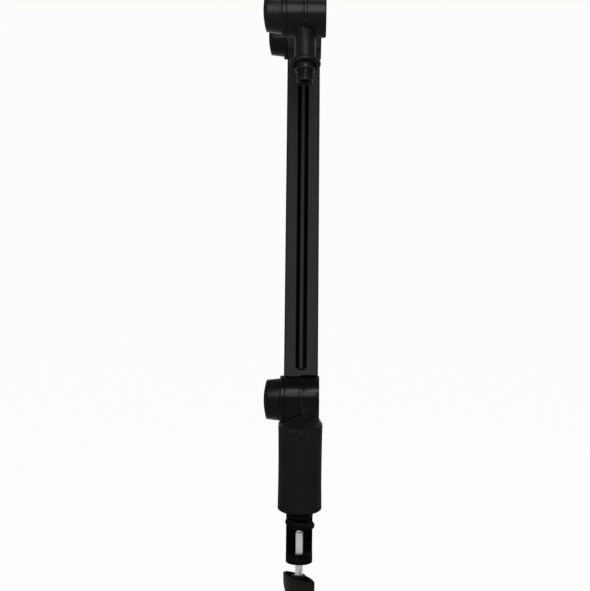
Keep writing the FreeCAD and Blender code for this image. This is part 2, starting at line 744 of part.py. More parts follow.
def make_hinge(pivot, lower, upper, sprung):
    """Make one hinge's pieces: bolt, cap and washer on the lower member, the rest on the upper or loose."""
    knob_left = f"({KNOB_RIGHT} - knob_length)"
    bolt_end = f"({KNOB_SEAT} - insert_length)"
    head = hexagon(f"{pivot}_bolt_head", "bolt_head_flats", "bolt_head_height", HEAD_LEFT, "x")
    bolt_shank = cylinder(f"{pivot}_bolt_shank", "bolt_radius", f"{HEAD_LEFT} - {bolt_end}", bolt_end, "x")
    node(f"{pivot}_bolt", fuse(f"{pivot}_bolt", head, bolt_shank), pivot, lower)

    cap = turned(
        f"{pivot}_end_cap",
        [
            ("0", HEAD_RIGHT),
            ("cap_radius", HEAD_RIGHT),
            ("cap_radius", EAR_RIGHT),
            ("cap_radius - cap_thickness", EAR_RIGHT),
            ("cap_radius - cap_thickness - cap_dish", f"{EAR_RIGHT} - cap_dish"),
            ("0", f"{EAR_RIGHT} - cap_dish"),
        ],
        "x",
    )
    node(f"{pivot}_end_cap", cap, pivot, lower)

    washer_left = "0 - washer_thickness / 2"
    disc = cylinder(f"{pivot}_washer_disc", "washer_radius", "washer_thickness", washer_left, "x")
    hole = "bolt_radius + bolt_gap"
    eyes = [cylinder(f"{pivot}_washer_eye", hole, "washer_thickness", washer_left, "x")]
    if sprung:
        eyes.append(leg_hole(f"{pivot}_washer", lower, upper))
    node(f"{pivot}_friction_washer", cut(f"{pivot}_friction_washer", disc, *eyes), pivot, lower)

    sleeve = cylinder(f"{pivot}_bush_sleeve", "bush_radius", "hub_width", HUB_LEFT, "x")
    bore = cylinder(f"{pivot}_bush_bore", hole, "hub_width", HUB_LEFT, "x")
    node(f"{pivot}_bush", cut(f"{pivot}_bush", sleeve, bore), pivot, upper)

    plate = turned(
        f"{pivot}_pressure_plate",
        [
            (hole, PLATE_LEFT),
            ("plate_radius - edge_round", PLATE_LEFT),
            ("plate_radius", f"{PLATE_LEFT} + edge_round"),
            ("plate_radius", f"{HUB_LEFT} - edge_round / 2"),
            ("plate_radius - edge_round / 2", HUB_LEFT),
            (hole, HUB_LEFT),
        ],
        "x",
    )
    node(f"{pivot}_pressure_plate", plate, pivot, upper)

    spring_left = f"({PLATE_LEFT} - spring_washer_thickness)"
    dish = turned(
        f"{pivot}_spring_washer",
        [
            ("spring_washer_radius", PLATE_LEFT),
            (hole, f"{PLATE_LEFT} - spring_washer_thickness / 3"),
            (hole, spring_left),
            ("spring_washer_radius", f"{PLATE_LEFT} - spring_washer_thickness * 2 / 3"),
        ],
        "x",
    )
    node(f"{pivot}_spring_washer", dish, pivot, upper)

    recess = "(spring_washer_radius + spring_washer_room)"
    knob = turned(
        f"{pivot}_knob",
        [
            ("insert_radius", KNOB_SEAT),
            (recess, KNOB_SEAT),
            (recess, KNOB_RIGHT),
            ("knob_radius", KNOB_RIGHT),
            ("knob_face_radius", knob_left, ("y", "0", 1)),
            ("0", f"{knob_left} - knob_dome"),
            ("0", bolt_end),
            ("insert_radius", bolt_end),
        ],
        "x",
    )
    face = value(knob_left)
    face_radius = value("knob_face_radius")
    rounded(knob, f"{pivot}_knob_round", "knob_round", lambda e: circle_at(e, "x", face, face_radius))
    node(f"{pivot}_knob", knob, pivot, lower)

    insert = cylinder(f"{pivot}_insert_sleeve", "insert_radius", "insert_length", bolt_end, "x")
    thread = cylinder(f"{pivot}_insert_bore", hole, "insert_length", bolt_end, "x")
    node(f"{pivot}_knob_insert", cut(f"{pivot}_knob_insert", insert, thread), pivot, lower)


def hub_disc(name):
    """Make a hub's plain disc with its rounded rims."""
    return turned(
        name,
        [
            ("0", HUB_LEFT),
            ("hub_radius - edge_round / 2", HUB_LEFT),
            ("hub_radius", f"{HUB_LEFT} + edge_round / 2"),
            ("hub_radius", f"{HUB_RIGHT} - edge_round"),
            ("hub_radius - edge_round", HUB_RIGHT),
            ("0", HUB_RIGHT),
        ],
        "x",
    )


def spring_cavity(name):
    """Make the ring-shaped room for a torsion spring, open towards the ear."""
    depth = f"{HUB_RIGHT} - {CAVITY_LEFT}"
    room = cylinder(f"{name}_room", "cavity_radius", depth, CAVITY_LEFT, "x")
    boss = cylinder(f"{name}_boss", "boss_radius", depth, CAVITY_LEFT, "x")
    return cut(f"{name}_cavity", room, boss)


# Arms


def plug_block(name, along):
    """Make the block that fills the back of a tube's end, upwards or downwards from its pivot."""
    sign = "" if along > 0 else "0 - "
    near = f"{sign}({SADDLE} + plug_gap)"
    far = f"{sign}(tube_start + plug_length)"
    ends = (near, far) if along > 0 else (far, near)
    across = (f"plug_gap - {TUBE_IN_X}", f"{TUBE_IN_X} - plug_gap")
    return box(name, across, (f"{LINER_BACK} + plug_gap", f"{TUBE_IN_Y} - plug_gap"), ends)


def make_hub_end(arm, pivot):
    """Make the lower end of an arm: a hub with its spring room, and the plug into the tube."""
    name = f"{arm}_arm_hub"
    web = box(
        f"{name}_web",
        (f"plug_gap - {TUBE_IN_X}", HUB_RIGHT),
        (f"{LINER_BACK} + plug_gap", f"{TUBE_IN_Y} - plug_gap"),
        ("0", "tube_start + plug_length / 2"),
    )
    solid = fuse(f"{name}_solid", hub_disc(f"{name}_disc"), web, plug_block(f"{name}_plug", 1))
    bore = cylinder(f"{name}_bore", "bush_radius", "hub_width", HUB_LEFT, "x")
    leg = cylinder(
        f"{name}_leg_hole",
        "wire_radius + leg_gap",
        "leg_length + leg_gap",
        f"{CAVITY_LEFT} - leg_length - leg_gap",
        "x",
        y=LEFT_LEG[0],
        z=LEFT_LEG[1],
    )
    cuts = [spring_cavity(name), bore, leg, *screw_holes(name, 1)]
    node(name, cut(name, solid, *cuts), pivot, arm)


def make_ear_end(arm, pivot, sprung):
    """Make the upper end of an arm: an ear for the next hinge's bolt, and the plug into the tube."""
    name = f"{arm}_arm_ear"
    disc = turned(
        f"{name}_disc",
        [
            ("0", EAR_LEFT),
            ("hub_radius - edge_round", EAR_LEFT),
            ("hub_radius", f"{EAR_LEFT} + edge_round"),
            ("hub_radius", f"{EAR_RIGHT} - edge_round"),
            ("hub_radius - edge_round", EAR_RIGHT),
            ("0", EAR_RIGHT),
        ],
        "x",
    )
    web = box(
        f"{name}_web",
        (EAR_LEFT, f"{TUBE_IN_X} - plug_gap"),
        (f"{LINER_BACK} + plug_gap", f"{TUBE_IN_Y} - plug_gap"),
        ("0 - tube_start - plug_length / 2", "0"),
    )
    solid = fuse(f"{name}_solid", disc, web, plug_block(f"{name}_plug", -1))
    holes = [*ear_holes(name), *screw_holes(name, -1)]
    if sprung:
        holes.append(leg_hole(name, "lower", "upper"))
    node(name, cut(name, solid, *holes), pivot, arm)


def screw_places(along):
    """Return the two places of an end's fixing screws, as (X, Z) from its pivot."""
    height = "tube_start + screw_inset" if along > 0 else "0 - tube_start - screw_inset"
    return [("0 - screw_spacing / 2", height), ("screw_spacing / 2", height)]


def screw_holes(name, along):
    """Return the two holes that an end's fixing screws enter, from the tube's back."""
    return [
        cylinder(f"{name}_screw_hole_{i}", "screw_radius", "screw_length", "tube_depth / 2", "y", x=x, z=z)
        for i, (x, z) in enumerate(screw_places(along), 1)
    ]


def arm_screw_places():
    """Return the places of an arm's four fixing screws, as (X, Z) from its lower pivot."""
    upper = [(x, f"arm_length + {z}") for x, z in screw_places(-1)]
    return screw_places(1) + upper


def make_arm(arm, pivot):
    """Make an arm's tube with its cable slot, the liner behind the slot and the fixing screws."""
    span = "arm_length - 2 * tube_start"
    name = f"{arm}_arm_tube"
    body = padded(
        f"{name}_body",
        "XY_Plane",
        rectangle("tube_width / 2", "tube_depth / 2"),
        span,
        offset="tube_start",
    )
    rounded(body, f"{name}_corners", "tube_corner", lambda e: runs_along(e, "z"))
    whole = f"{span} + tube_start"
    pocket(body, f"{name}_bore", "XY_Plane", rectangle(TUBE_IN_X, TUBE_IN_Y), whole, reverse=True)
    mouth = slot_outline("slot_width / 2", "slot_start", "arm_length - slot_start")
    pocket(body, f"{name}_slot", "XZ_Plane", mouth, "tube_depth", reverse=True)
    saddles = [
        cylinder(f"{name}_saddle_{i}", SADDLE, "2 * tube_width", "0 - tube_width", "x", z=z)
        for i, z in enumerate(("0", "arm_length"), 1)
    ]
    sink = "(screw_head_radius - screw_radius)"
    holes = []
    for i, (x, z) in enumerate(arm_screw_places(), 1):
        place = {"along": "y", "x": x, "z": z}
        through = f"{name}_through_{i}"
        holes.append(cylinder(through, "screw_radius", "2 * tube_wall", "tube_depth / 2", **place))
        sunk = f"{name}_sink_{i}"
        holes.append(cone(sunk, "screw_head_radius", "screw_radius", sink, "tube_depth / 2", **place))
    node(name, cut(name, body, *saddles, *holes), pivot, arm)

    liner_outer = "(slot_width / 2 + liner_wall)"
    first = "(slot_start - liner_wall)"
    last = "(arm_length - slot_start + liner_wall)"
    liner_name = f"{arm}_arm_cable_liner"
    tray = padded(
        liner_name,
        "XZ_Plane",
        slot_outline(liner_outer, first, last),
        "liner_depth",
        offset=f"{TUBE_IN_Y} - liner_depth",
    )
    pocket_from = f"{TUBE_IN_Y} - liner_depth + liner_wall"
    drawing = sketch(tray, f"{liner_name}_channel", "XZ_Plane", mouth, offset=pocket_from)
    channel = tray.newObject("PartDesign::Pocket", f"{liner_name}_cut")
    channel.Profile = drawing
    channel.Reversed = True
    bind(channel, Length="liner_depth")
    doc.recompute()
    node(liner_name, tray, pivot, arm)

    screws = []
    for i, (x, z) in enumerate(arm_screw_places(), 1):
        place = {"along": "y", "x": x, "z": z}
        screws.append(
            cylinder(f"{arm}_screw_{i}", "screw_radius", "screw_length", "tube_depth / 2", **place)
        )
        head = f"{arm}_screw_head_{i}"
        screws.append(cone(head, "screw_head_radius", "screw_radius", sink, "tube_depth / 2", **place))
    node(f"{arm}_arm_screws", fuse(f"{arm}_arm_screws", *screws), pivot, arm)


# Torsion springs


def arc_between(start, corner, finish):
    """Return the arc that leaves one point, bends at a corner and meets another at equal distance."""
    inward = (corner - start).normalize()
    outward = (finish - corner).normalize()
    half = math.acos(max(-1.0, min(1.0, inward.dot(outward)))) / 2
    reach = (corner - start).Length
    radius = reach / math.tan(half)
    sag = radius * (1 - math.cos(half))
    middle = (start + finish) / 2
    return Part.Arc(start, middle + (corner - middle).normalize() * sag, finish).toShape()


def biarc(start, leaving, finish, arriving):
    """Return the two arcs that join two points with given directions at both."""
    chord = finish - start
    total = leaving + arriving
    spread = 2 * (1 - leaving.dot(arriving))
    along = chord.dot(total)
    reach = (math.sqrt(along * along + spread * chord.dot(chord)) - along) / spread
    first = start + leaving * reach
    last = finish - arriving * reach
    middle = (first + last) / 2
    return [arc_between(start, first, middle), arc_between(middle, last, finish)]


def make_spring(pivot, arm):
    """Wind a torsion spring in a hub: one leg in the hub's wall, one through the washer into the ear."""
    radius = sheet.coil_radius
    wire = sheet.wire_radius
    bend = sheet.leg_bend
    turns = sheet.coil_turns
    pitch = (value(f"{HUB_RIGHT} - {CAVITY_LEFT}") - 2 * bend) / turns
    first_x = value(CAVITY_LEFT) + bend
    slope = pitch / (2 * math.pi)

    def point(angle):
        return FreeCAD.Vector(first_x + slope * angle, radius * math.cos(angle), radius * math.sin(angle))

    def heading(angle):
        return FreeCAD.Vector(slope, -radius * math.sin(angle), radius * math.cos(angle)).normalize()

    steps = math.ceil(4 * turns)
    angles = [2 * math.pi * turns * i / steps for i in range(steps + 1)]
    left = FreeCAD.Vector(-1, 0, 0)
    right = FreeCAD.Vector(1, 0, 0)
    edges = []
    start = point(angles[0])
    back = heading(angles[0]) * -1
    reach = bend * math.tan(math.acos(back.dot(left)) / 2)
    corner = start + back * reach
    leg_top = corner + left * reach
    edges.append(Part.LineSegment(leg_top + left * sheet.leg_length, leg_top).toShape())
    edges.append(arc_between(leg_top, corner, start))
    for first, last in zip(angles, angles[1:]):
        edges += biarc(point(first), heading(first), point(last), heading(last))
    finish = point(angles[-1])
    onward = heading(angles[-1])
    reach = bend * math.tan(math.acos(onward.dot(right)) / 2)
    corner = finish + onward * reach
    leg_start = corner + right * reach
    edges.append(arc_between(finish, corner, leg_start))
    leg_end = FreeCAD.Vector(value(EAR_LEFT) + sheet.leg_length, leg_start.y, leg_start.z)
    edges.append(Part.LineSegment(leg_start, leg_end).toShape())
    path = Part.Wire(edges)
    section = Part.Wire([Part.makeCircle(wire, path.Vertexes[0].Point, right)])
    shell = Part.BRepOffsetAPI.MakePipeShell(path)
    shell.add(section)
    shell.build()
    shell.makeSolid()
    thing = doc.addObject("Part::Feature", f"{pivot}_spring")
    thing.Shape = shell.shape()
    length = path.Length * math.pi * wire * wire
    gap = pitch - 2 * wire
    print(f"{pivot}_spring volume {thing.Shape.Volume:.1f} of {length:.1f}, gap between turns {gap:.2f}")
    node(f"{pivot}_spring", thing, pivot, arm)


# Microphone head


def make_head():
    """Make the head's hub with its stub, the flared flange and the threaded stud."""
    stub = cylinder("head_stub", "stub_radius", "stub_length", "0")
    clear = cylinder("head_stub_clear", SADDLE, f"2 * stub_radius - {HUB_RIGHT}", HUB_RIGHT, "x")
    solid = fuse("head_solid", hub_disc("head_hub"), cut("head_stub_cut", stub, clear))
    bore = cylinder("head_bush_bore", "bush_radius", "hub_width", HUB_LEFT, "x")
    socket_foot = "stub_length - shank_length + flange_length - recess_depth"
    socket = cylinder("head_socket", "shank_radius", "shank_length", socket_foot)
    node("head_body", cut("head_body", solid, bore, socket), "head", "head")

    face = "(stub_length + flange_length)"
    flange = turned(
        "head_flange",
        [
            ("shank_radius", "stub_length"),
            ("stub_radius", "stub_length"),
            ("flange_radius", "stub_length + flange_flare"),
            ("flange_radius", f"{face} - flange_round"),
            ("flange_radius - flange_round", face),
            ("recess_radius", face),
            ("recess_radius", f"{face} - recess_depth"),
            ("shank_radius", f"{face} - recess_depth"),
        ],
    )
    node("head_flange", flange, "head", "head")

    seat = f"({face} - recess_depth)"
    collar_end = f"({face} + collar_length)"
    nose_end = f"({collar_end} + nose_length)"
    stud = turned(
        "mic_stud",
        [
            ("0", f"{seat} - shank_length"),
            ("shank_radius", f"{seat} - shank_length"),
            ("shank_radius", seat),
            ("collar_radius - collar_edge", seat),
            ("collar_radius", f"{seat} + collar_edge"),
            ("collar_radius", f"{collar_end} - collar_edge"),
            ("collar_radius - collar_edge", collar_end),
            ("nose_radius", collar_end),
            ("nose_radius", f"{nose_end} - nose_edge"),
            ("nose_radius - nose_edge", nose_end),
            ("end_hole_radius", nose_end),
            ("end_hole_radius", f"{nose_end} - end_hole_depth"),
            ("0", f"{nose_end} - end_hole_depth"),
        ],
    )
    node("mic_stud", stud, "head", "head")


make_clamp_frame()
make_clamp_fittings()
make_clamp_screw()
make_handle()
make_foot()
make_riser()
make_riser_head()
make_hinge("base", "riser", "lower", sprung=True)
make_hinge("elbow", "lower", "upper", sprung=True)
make_hinge("head", "upper", "head", sprung=False)
for arm, first, last in (("lower", "base", "elbow"), ("upper", "elbow", "head")):
    make_hub_end(arm, first)
    make_ear_end(arm, last, sprung=last == "elbow")
    make_arm(arm, first)
make_spring("base", "lower")
make_spring("elbow", "upper")
make_head()
doc.recompute()

for thing in doc.Objects:
    if "Invalid" in thing.State or "Error" in thing.State:
        raise RuntimeError(f"{thing.Name} failed: {thing.State}")
for thing in NODES:
    if thing.Shape.isNull() or not thing.Shape.isValid() or not thing.Shape.Solids:
        raise RuntimeError(f"{thing.Label} has no valid solid")

os.makedirs("parts", exist_ok=True)
for thing in NODES:
    thing.Shape.exportStep(f"parts/{thing.Label}.step")
print(f"{len(NODES)} sub-parts written")
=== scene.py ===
"""Dress the microphone boom arm.

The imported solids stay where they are. This script gives each of them a finish, softens the edges that
catch the light, cuts the threads, screw drives and rubber rings that the solids leave plain, and sets up
the studio. Lengths are in metres and angles in degrees.
"""

import json
import logging
import math
from collections.abc import Callable, Iterator
from contextlib import contextmanager
from dataclasses import dataclass, field, replace
from enum import Enum

import bpy
from mathutils import Matrix, Vector

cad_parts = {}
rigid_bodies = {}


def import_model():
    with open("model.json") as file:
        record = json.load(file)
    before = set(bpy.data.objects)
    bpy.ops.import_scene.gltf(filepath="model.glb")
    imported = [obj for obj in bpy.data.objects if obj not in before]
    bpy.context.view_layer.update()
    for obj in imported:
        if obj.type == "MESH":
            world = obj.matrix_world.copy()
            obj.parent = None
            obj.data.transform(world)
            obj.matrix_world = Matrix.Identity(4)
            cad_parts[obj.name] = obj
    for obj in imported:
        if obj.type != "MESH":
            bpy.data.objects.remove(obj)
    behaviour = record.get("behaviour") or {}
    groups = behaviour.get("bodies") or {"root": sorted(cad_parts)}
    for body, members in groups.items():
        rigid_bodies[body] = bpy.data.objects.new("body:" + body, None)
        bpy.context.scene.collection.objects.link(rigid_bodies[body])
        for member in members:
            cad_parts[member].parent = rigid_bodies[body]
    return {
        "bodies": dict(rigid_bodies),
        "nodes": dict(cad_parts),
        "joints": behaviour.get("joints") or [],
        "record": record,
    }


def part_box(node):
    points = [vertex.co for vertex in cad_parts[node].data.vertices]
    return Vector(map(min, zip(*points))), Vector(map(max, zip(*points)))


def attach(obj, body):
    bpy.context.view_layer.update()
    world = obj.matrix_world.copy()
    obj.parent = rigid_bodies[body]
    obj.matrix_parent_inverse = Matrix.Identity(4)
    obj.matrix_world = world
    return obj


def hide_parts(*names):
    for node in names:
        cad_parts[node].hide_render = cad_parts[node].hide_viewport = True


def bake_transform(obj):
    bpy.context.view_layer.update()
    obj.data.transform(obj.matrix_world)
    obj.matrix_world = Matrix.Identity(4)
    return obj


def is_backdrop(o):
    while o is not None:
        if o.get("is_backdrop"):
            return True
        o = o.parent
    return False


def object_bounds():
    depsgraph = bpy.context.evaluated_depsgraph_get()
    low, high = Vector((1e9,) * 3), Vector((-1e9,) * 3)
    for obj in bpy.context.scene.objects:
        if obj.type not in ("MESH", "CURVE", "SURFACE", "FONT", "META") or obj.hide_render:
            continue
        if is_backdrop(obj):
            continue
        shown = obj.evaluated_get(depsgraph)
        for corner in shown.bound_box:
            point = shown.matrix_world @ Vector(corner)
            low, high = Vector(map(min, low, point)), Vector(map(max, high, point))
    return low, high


LOG = logging.getLogger("boom_arm")
MM = 0.001
INCH = 25.4 * MM
MERGE_DISTANCE = 0.002 * MM
SEED_SIZE = 1.0 * MM
RIDGE_SIDES = 4
TURNED_ANGLE = 25.0
HINGES = ("base", "elbow", "head")
ARMS = ("lower_arm", "upper_arm")
SIDEWAYS = Vector((1.0, 0.0, 0.0))

Piece = bpy.types.Object
Material = bpy.types.Material
Node = bpy.types.Node
Socket = bpy.types.NodeSocket
Tree = bpy.types.NodeTree
Span = tuple[float, float]
Point = tuple[float, float, float]
Colour = tuple[float, float, float]
Inputs = dict[str | int, Socket | Colour | float]


# The modelling tools, each of which starts and ends in object mode


def pick_up(piece: Piece) -> None:
    """Make one piece the only selected and active one."""
    bpy.ops.object.select_all(action="DESELECT")
    piece.select_set(True)
    bpy.context.view_layer.objects.active = piece


@contextmanager
def editing(piece: Piece) -> Iterator[None]:
    """Open a piece in edit mode with all of it selected, and close it after the work."""
    pick_up(piece)
    bpy.ops.object.mode_set(mode="EDIT")
    bpy.ops.mesh.select_all(action="SELECT")
    yield
    bpy.ops.object.mode_set(mode="OBJECT")


def modify(piece: Piece, kind: str, **settings: object) -> None:
    """Run a modifier on a piece and write its work into the mesh.

    Args:
        piece: The piece.
        kind: The modifier's kind.
        settings: The modifier's settings.
    """
    modifier = piece.modifiers.new(kind.lower(), kind)
    for name, value in settings.items():
        setattr(modifier, name, value)
    pick_up(piece)
    bpy.ops.object.modifier_apply(modifier=modifier.name)


def draw(name: str, points: list[Point]) -> Piece:
    """Draw an open line by pulling one vertex from point to point.

    Args:
        name: The new piece's name.
        points: The line's points, in order.

    Returns:
        The new piece, a line with no faces.
    """
    bpy.ops.object.select_all(action="DESELECT")
    bpy.ops.mesh.primitive_plane_add(size=SEED_SIZE)
    piece = bpy.context.object
    piece.name = name
    with editing(piece):
        bpy.ops.mesh.merge(type="CENTER")
        bpy.ops.transform.translate(value=points[0])
        for last, following in zip(points, points[1:]):
            step = Vector(following) - Vector(last)
            bpy.ops.mesh.extrude_region_move(TRANSFORM_OT_translate={"value": step})
    return piece


def close_skin(piece: Piece) -> None:
    """Merge a piece's doubled vertices and point its faces outwards."""
    with editing(piece):
        bpy.ops.mesh.remove_doubles(threshold=MERGE_DISTANCE)
        bpy.ops.mesh.normals_make_consistent(inside=False)


def turn(name: str, outline: list[Span], steps: int) -> Piece:
    """Turn an outline of (radius, height) points once about Z.

    Args:
        name: The new piece's name.
        outline: The points, in order.
        steps: How many steps make the turn.

    Returns:
        The new piece.
    """
    piece = draw(name, [(radius, 0.0, height) for radius, height in outline])
    with editing(piece):
        bpy.ops.mesh.spin(steps=steps, angle=2 * math.pi, center=(0, 0, 0), axis=(0, 0, 1))
    close_skin(piece)
    return piece


def bevelled(radius: float, foot: float, top: float, edge: float) -> list[Span]:
    """Return the outline of a round side with a bevel at its foot and its top."""
    return [(radius - edge, foot), (radius, foot + edge), (radius, top - edge), (radius - edge, top)]


def wind(piece: Piece, pitch: float, turns: int, steps: int) -> None:
    """Wind a drawn section up Z into a thread's ridge and close its two ends.

    Args:
        piece: The section.
        pitch: The rise of one turn.
        turns: How many turns are wound.
        steps: How many steps make one turn.
    """
    rise = {"axis": "Z", "angle": 2 * math.pi, "screw_offset": pitch, "iterations": turns}
    modify(piece, "SCREW", **rise, steps=steps, render_steps=steps)
    close_skin(piece)
    with editing(piece):
        bpy.ops.mesh.fill_holes(sides=RIDGE_SIDES)
    close_skin(piece)


def combine(piece: Piece, tool: Piece, operation: str) -> None:
    """Work on a piece with another one, which is used up.

    Args:
        piece: The piece that stays.
        tool: The piece that it meets.
        operation: INTERSECT or DIFFERENCE.
    """
    modify(piece, "BOOLEAN", operation=operation, solver="EXACT", object=tool)
    bpy.data.objects.remove(tool)
    close_skin(piece)


def settle(piece: Piece, where: Matrix) -> None:
    """Move a piece to its place and write the place into its mesh."""
    piece.matrix_world = where
    pick_up(piece)
    bpy.ops.object.transform_apply(location=True, rotation=True, scale=True)


def prism(name: str, sides: int, corner: float, foot: float, top: float) -> Piece:
    """Make an upright prism about Z.

    Args:
        name: The new piece's name.
        sides: How many sides it has.
        corner: How far its corners lie from Z.
        foot: The lower end.
        top: The upper end.

    Returns:
        The new piece.
    """
    bpy.ops.object.select_all(action="DESELECT")
    bpy.ops.mesh.primitive_cylinder_add(vertices=sides, radius=corner, depth=top - foot)
    piece = bpy.context.object
    piece.name = name
    settle(piece, Matrix.Translation((0, 0, (foot + top) / 2)))
    return piece


def pull(piece: Piece, wanted: Callable[[Vector], bool], step: Vector) -> None:
    """Move some of a piece's vertices.

    Args:
        piece: The piece.
        wanted: Whether a vertex at a place moves.
        step: How far such a vertex moves.
    """
    with editing(piece):
        bpy.ops.mesh.select_mode(type="VERT")
        bpy.ops.mesh.select_all(action="DESELECT")
    for vertex in piece.data.vertices:
        vertex.select = wanted(vertex.co)
    bpy.ops.object.mode_set(mode="EDIT")
    bpy.ops.transform.translate(value=step)
    bpy.ops.object.mode_set(mode="OBJECT")


def smooth(piece: Piece, angle: float) -> None:
    """Shade a piece smooth, apart from edges sharper than an angle."""
    pick_up(piece)
    bpy.ops.object.shade_smooth_by_angle(angle=math.radians(angle))


def twin(piece: Piece, name: str) -> Piece:
    """Copy a piece with a mesh of its own and return the copy."""
    copy = bpy.data.objects.new(name, piece.data.copy())
    bpy.context.scene.collection.objects.link(copy)
    return copy


def join(pieces: list[Piece], name: str) -> Piece:
    """Join several pieces into one with a name and return it."""
    pick_up(pieces[0])
    for piece in pieces[1:]:
        piece.select_set(True)
    bpy.ops.object.join()
    pieces[0].name = name
    return pieces[0]


def frame_along(origin: Vector, axis: Vector, side: Vector) -> Matrix:
    """Return the place whose Z runs along an axis and whose X is nearest to a side."""
    up = axis.normalized()
    across = (side - up * side.dot(up)).normalized()
    turned = Matrix((across, up.cross(across), up)).transposed()
    return Matrix.Translation(origin) @ turned.to_4x4()


# The finishes and the paint shop


class Grain(Enum):
    """What a finish's surface is made of."""

    POWDER_COAT = "powder_coat"
    MOULDED = "moulded"
    TURNED = "turned"
    RUBBER = "rubber"


@dataclass(frozen=True)
class Finish:
    """One surface finish: its colours, its gloss, and its grain with the size and depth of the relief."""

    name: str
    grain: Grain
    colour: Colour
    roughness: Span
    specular: float
    relief: Span
    worn_colour: Colour = (0.02, 0.02, 0.02)
    metallic: float = 0.0
    wear: float = 0.25
    dust: float = 0.0008
    overspray: float = 0.0


class Finishes(Enum):
    """The finishes that this arm has."""

    TUBE_COAT = Finish(
        "tube_powder_coat", Grain.POWDER_COAT, (0.0180, 0.0180, 0.0164), (0.74, 0.84),
        specular=0.004, relief=(0.55 * MM, 0.009 * MM), worn_colour=(0.04, 0.04, 0.04),
    )
    RISER_COAT = Finish(
        "riser_powder_coat", Grain.POWDER_COAT, (0.0064, 0.0064, 0.0056), (0.58, 0.63),
        specular=0.02, relief=(0.55 * MM, 0.009 * MM), worn_colour=(0.03, 0.03, 0.03),
    )
    CAST_COAT = Finish(
        "cast_satin_coat", Grain.POWDER_COAT, (0.0017, 0.0017, 0.0014), (0.225, 0.255),
        specular=0.055, relief=(0.8 * MM, 0.006 * MM), overspray=0.35,
    )
    STUB_COAT = Finish(
        "stub_matt_coat", Grain.POWDER_COAT, (0.0022, 0.0022, 0.0019), (0.40, 0.45),
        specular=0.055, relief=(0.8 * MM, 0.008 * MM), overspray=0.2,
    )
    FRAME_COAT = Finish(
        "clamp_frame_coat", Grain.POWDER_COAT, (0.0014, 0.0014, 0.0013), (0.60, 0.74),
        specular=0.02, relief=(0.7 * MM, 0.010 * MM), wear=0.35,
    )
    KNOB_MOULDING = Finish(
        "knob_moulding", Grain.MOULDED, (0.0024, 0.0024, 0.0020), (0.28, 0.34),
        specular=0.05, relief=(0.35 * MM, 0.003 * MM), wear=0.15,
    )
    KNOB_FACE = Finish(
        "knob_face_matt", Grain.MOULDED, (0.0040, 0.0040, 0.0034), (0.68, 0.78),
        specular=0.01, relief=(0.35 * MM, 0.006 * MM), wear=0.1,
    )
    HANDLE_MOULDING = Finish(
        "handle_moulding", Grain.MOULDED, (0.0052, 0.0052, 0.0044), (0.54, 0.66),
        specular=0.05, relief=(0.45 * MM, 0.007 * MM), wear=0.2,
    )
    LINER_MOULDING = Finish(
        "liner_moulding", Grain.MOULDED, (0.0200, 0.0200, 0.0185), (0.66, 0.80),
        specular=0.004, relief=(0.4 * MM, 0.006 * MM), wear=0.1,
    )
    NYLON = Finish(
        "bearing_nylon", Grain.MOULDED, (0.0030, 0.0030, 0.0030), (0.66, 0.78),
        specular=0.03, relief=(0.5 * MM, 0.003 * MM), worn_colour=(0.01, 0.01, 0.01), wear=0.1,
    )
    RUBBER = Finish(
        "jaw_rubber", Grain.RUBBER, (0.0040, 0.0040, 0.0040), (0.72, 0.86), specular=0.08,
        relief=(0.5 * MM, 0.014 * MM), worn_colour=(0.015, 0.015, 0.015), wear=0.15, dust=0.004,
    )
    ZINC = Finish(
        "bright_zinc", Grain.TURNED, (0.62, 0.65, 0.64), (0.24, 0.38), specular=0.5,
        relief=(0.25 * MM, 0.002 * MM), worn_colour=(0.75, 0.76, 0.76), metallic=1.0, wear=0.2,
    )
    BRASS = replace(ZINC, name="turned_brass", colour=(0.68, 0.50, 0.24), worn_colour=(0.80, 0.63, 0.34))
    BLACK_STEEL = Finish(
        "blackened_steel", Grain.TURNED, (0.0028, 0.0028, 0.0025), (0.17, 0.24),
        specular=0.04, relief=(0.3 * MM, 0.003 * MM), wear=0.35,
    )


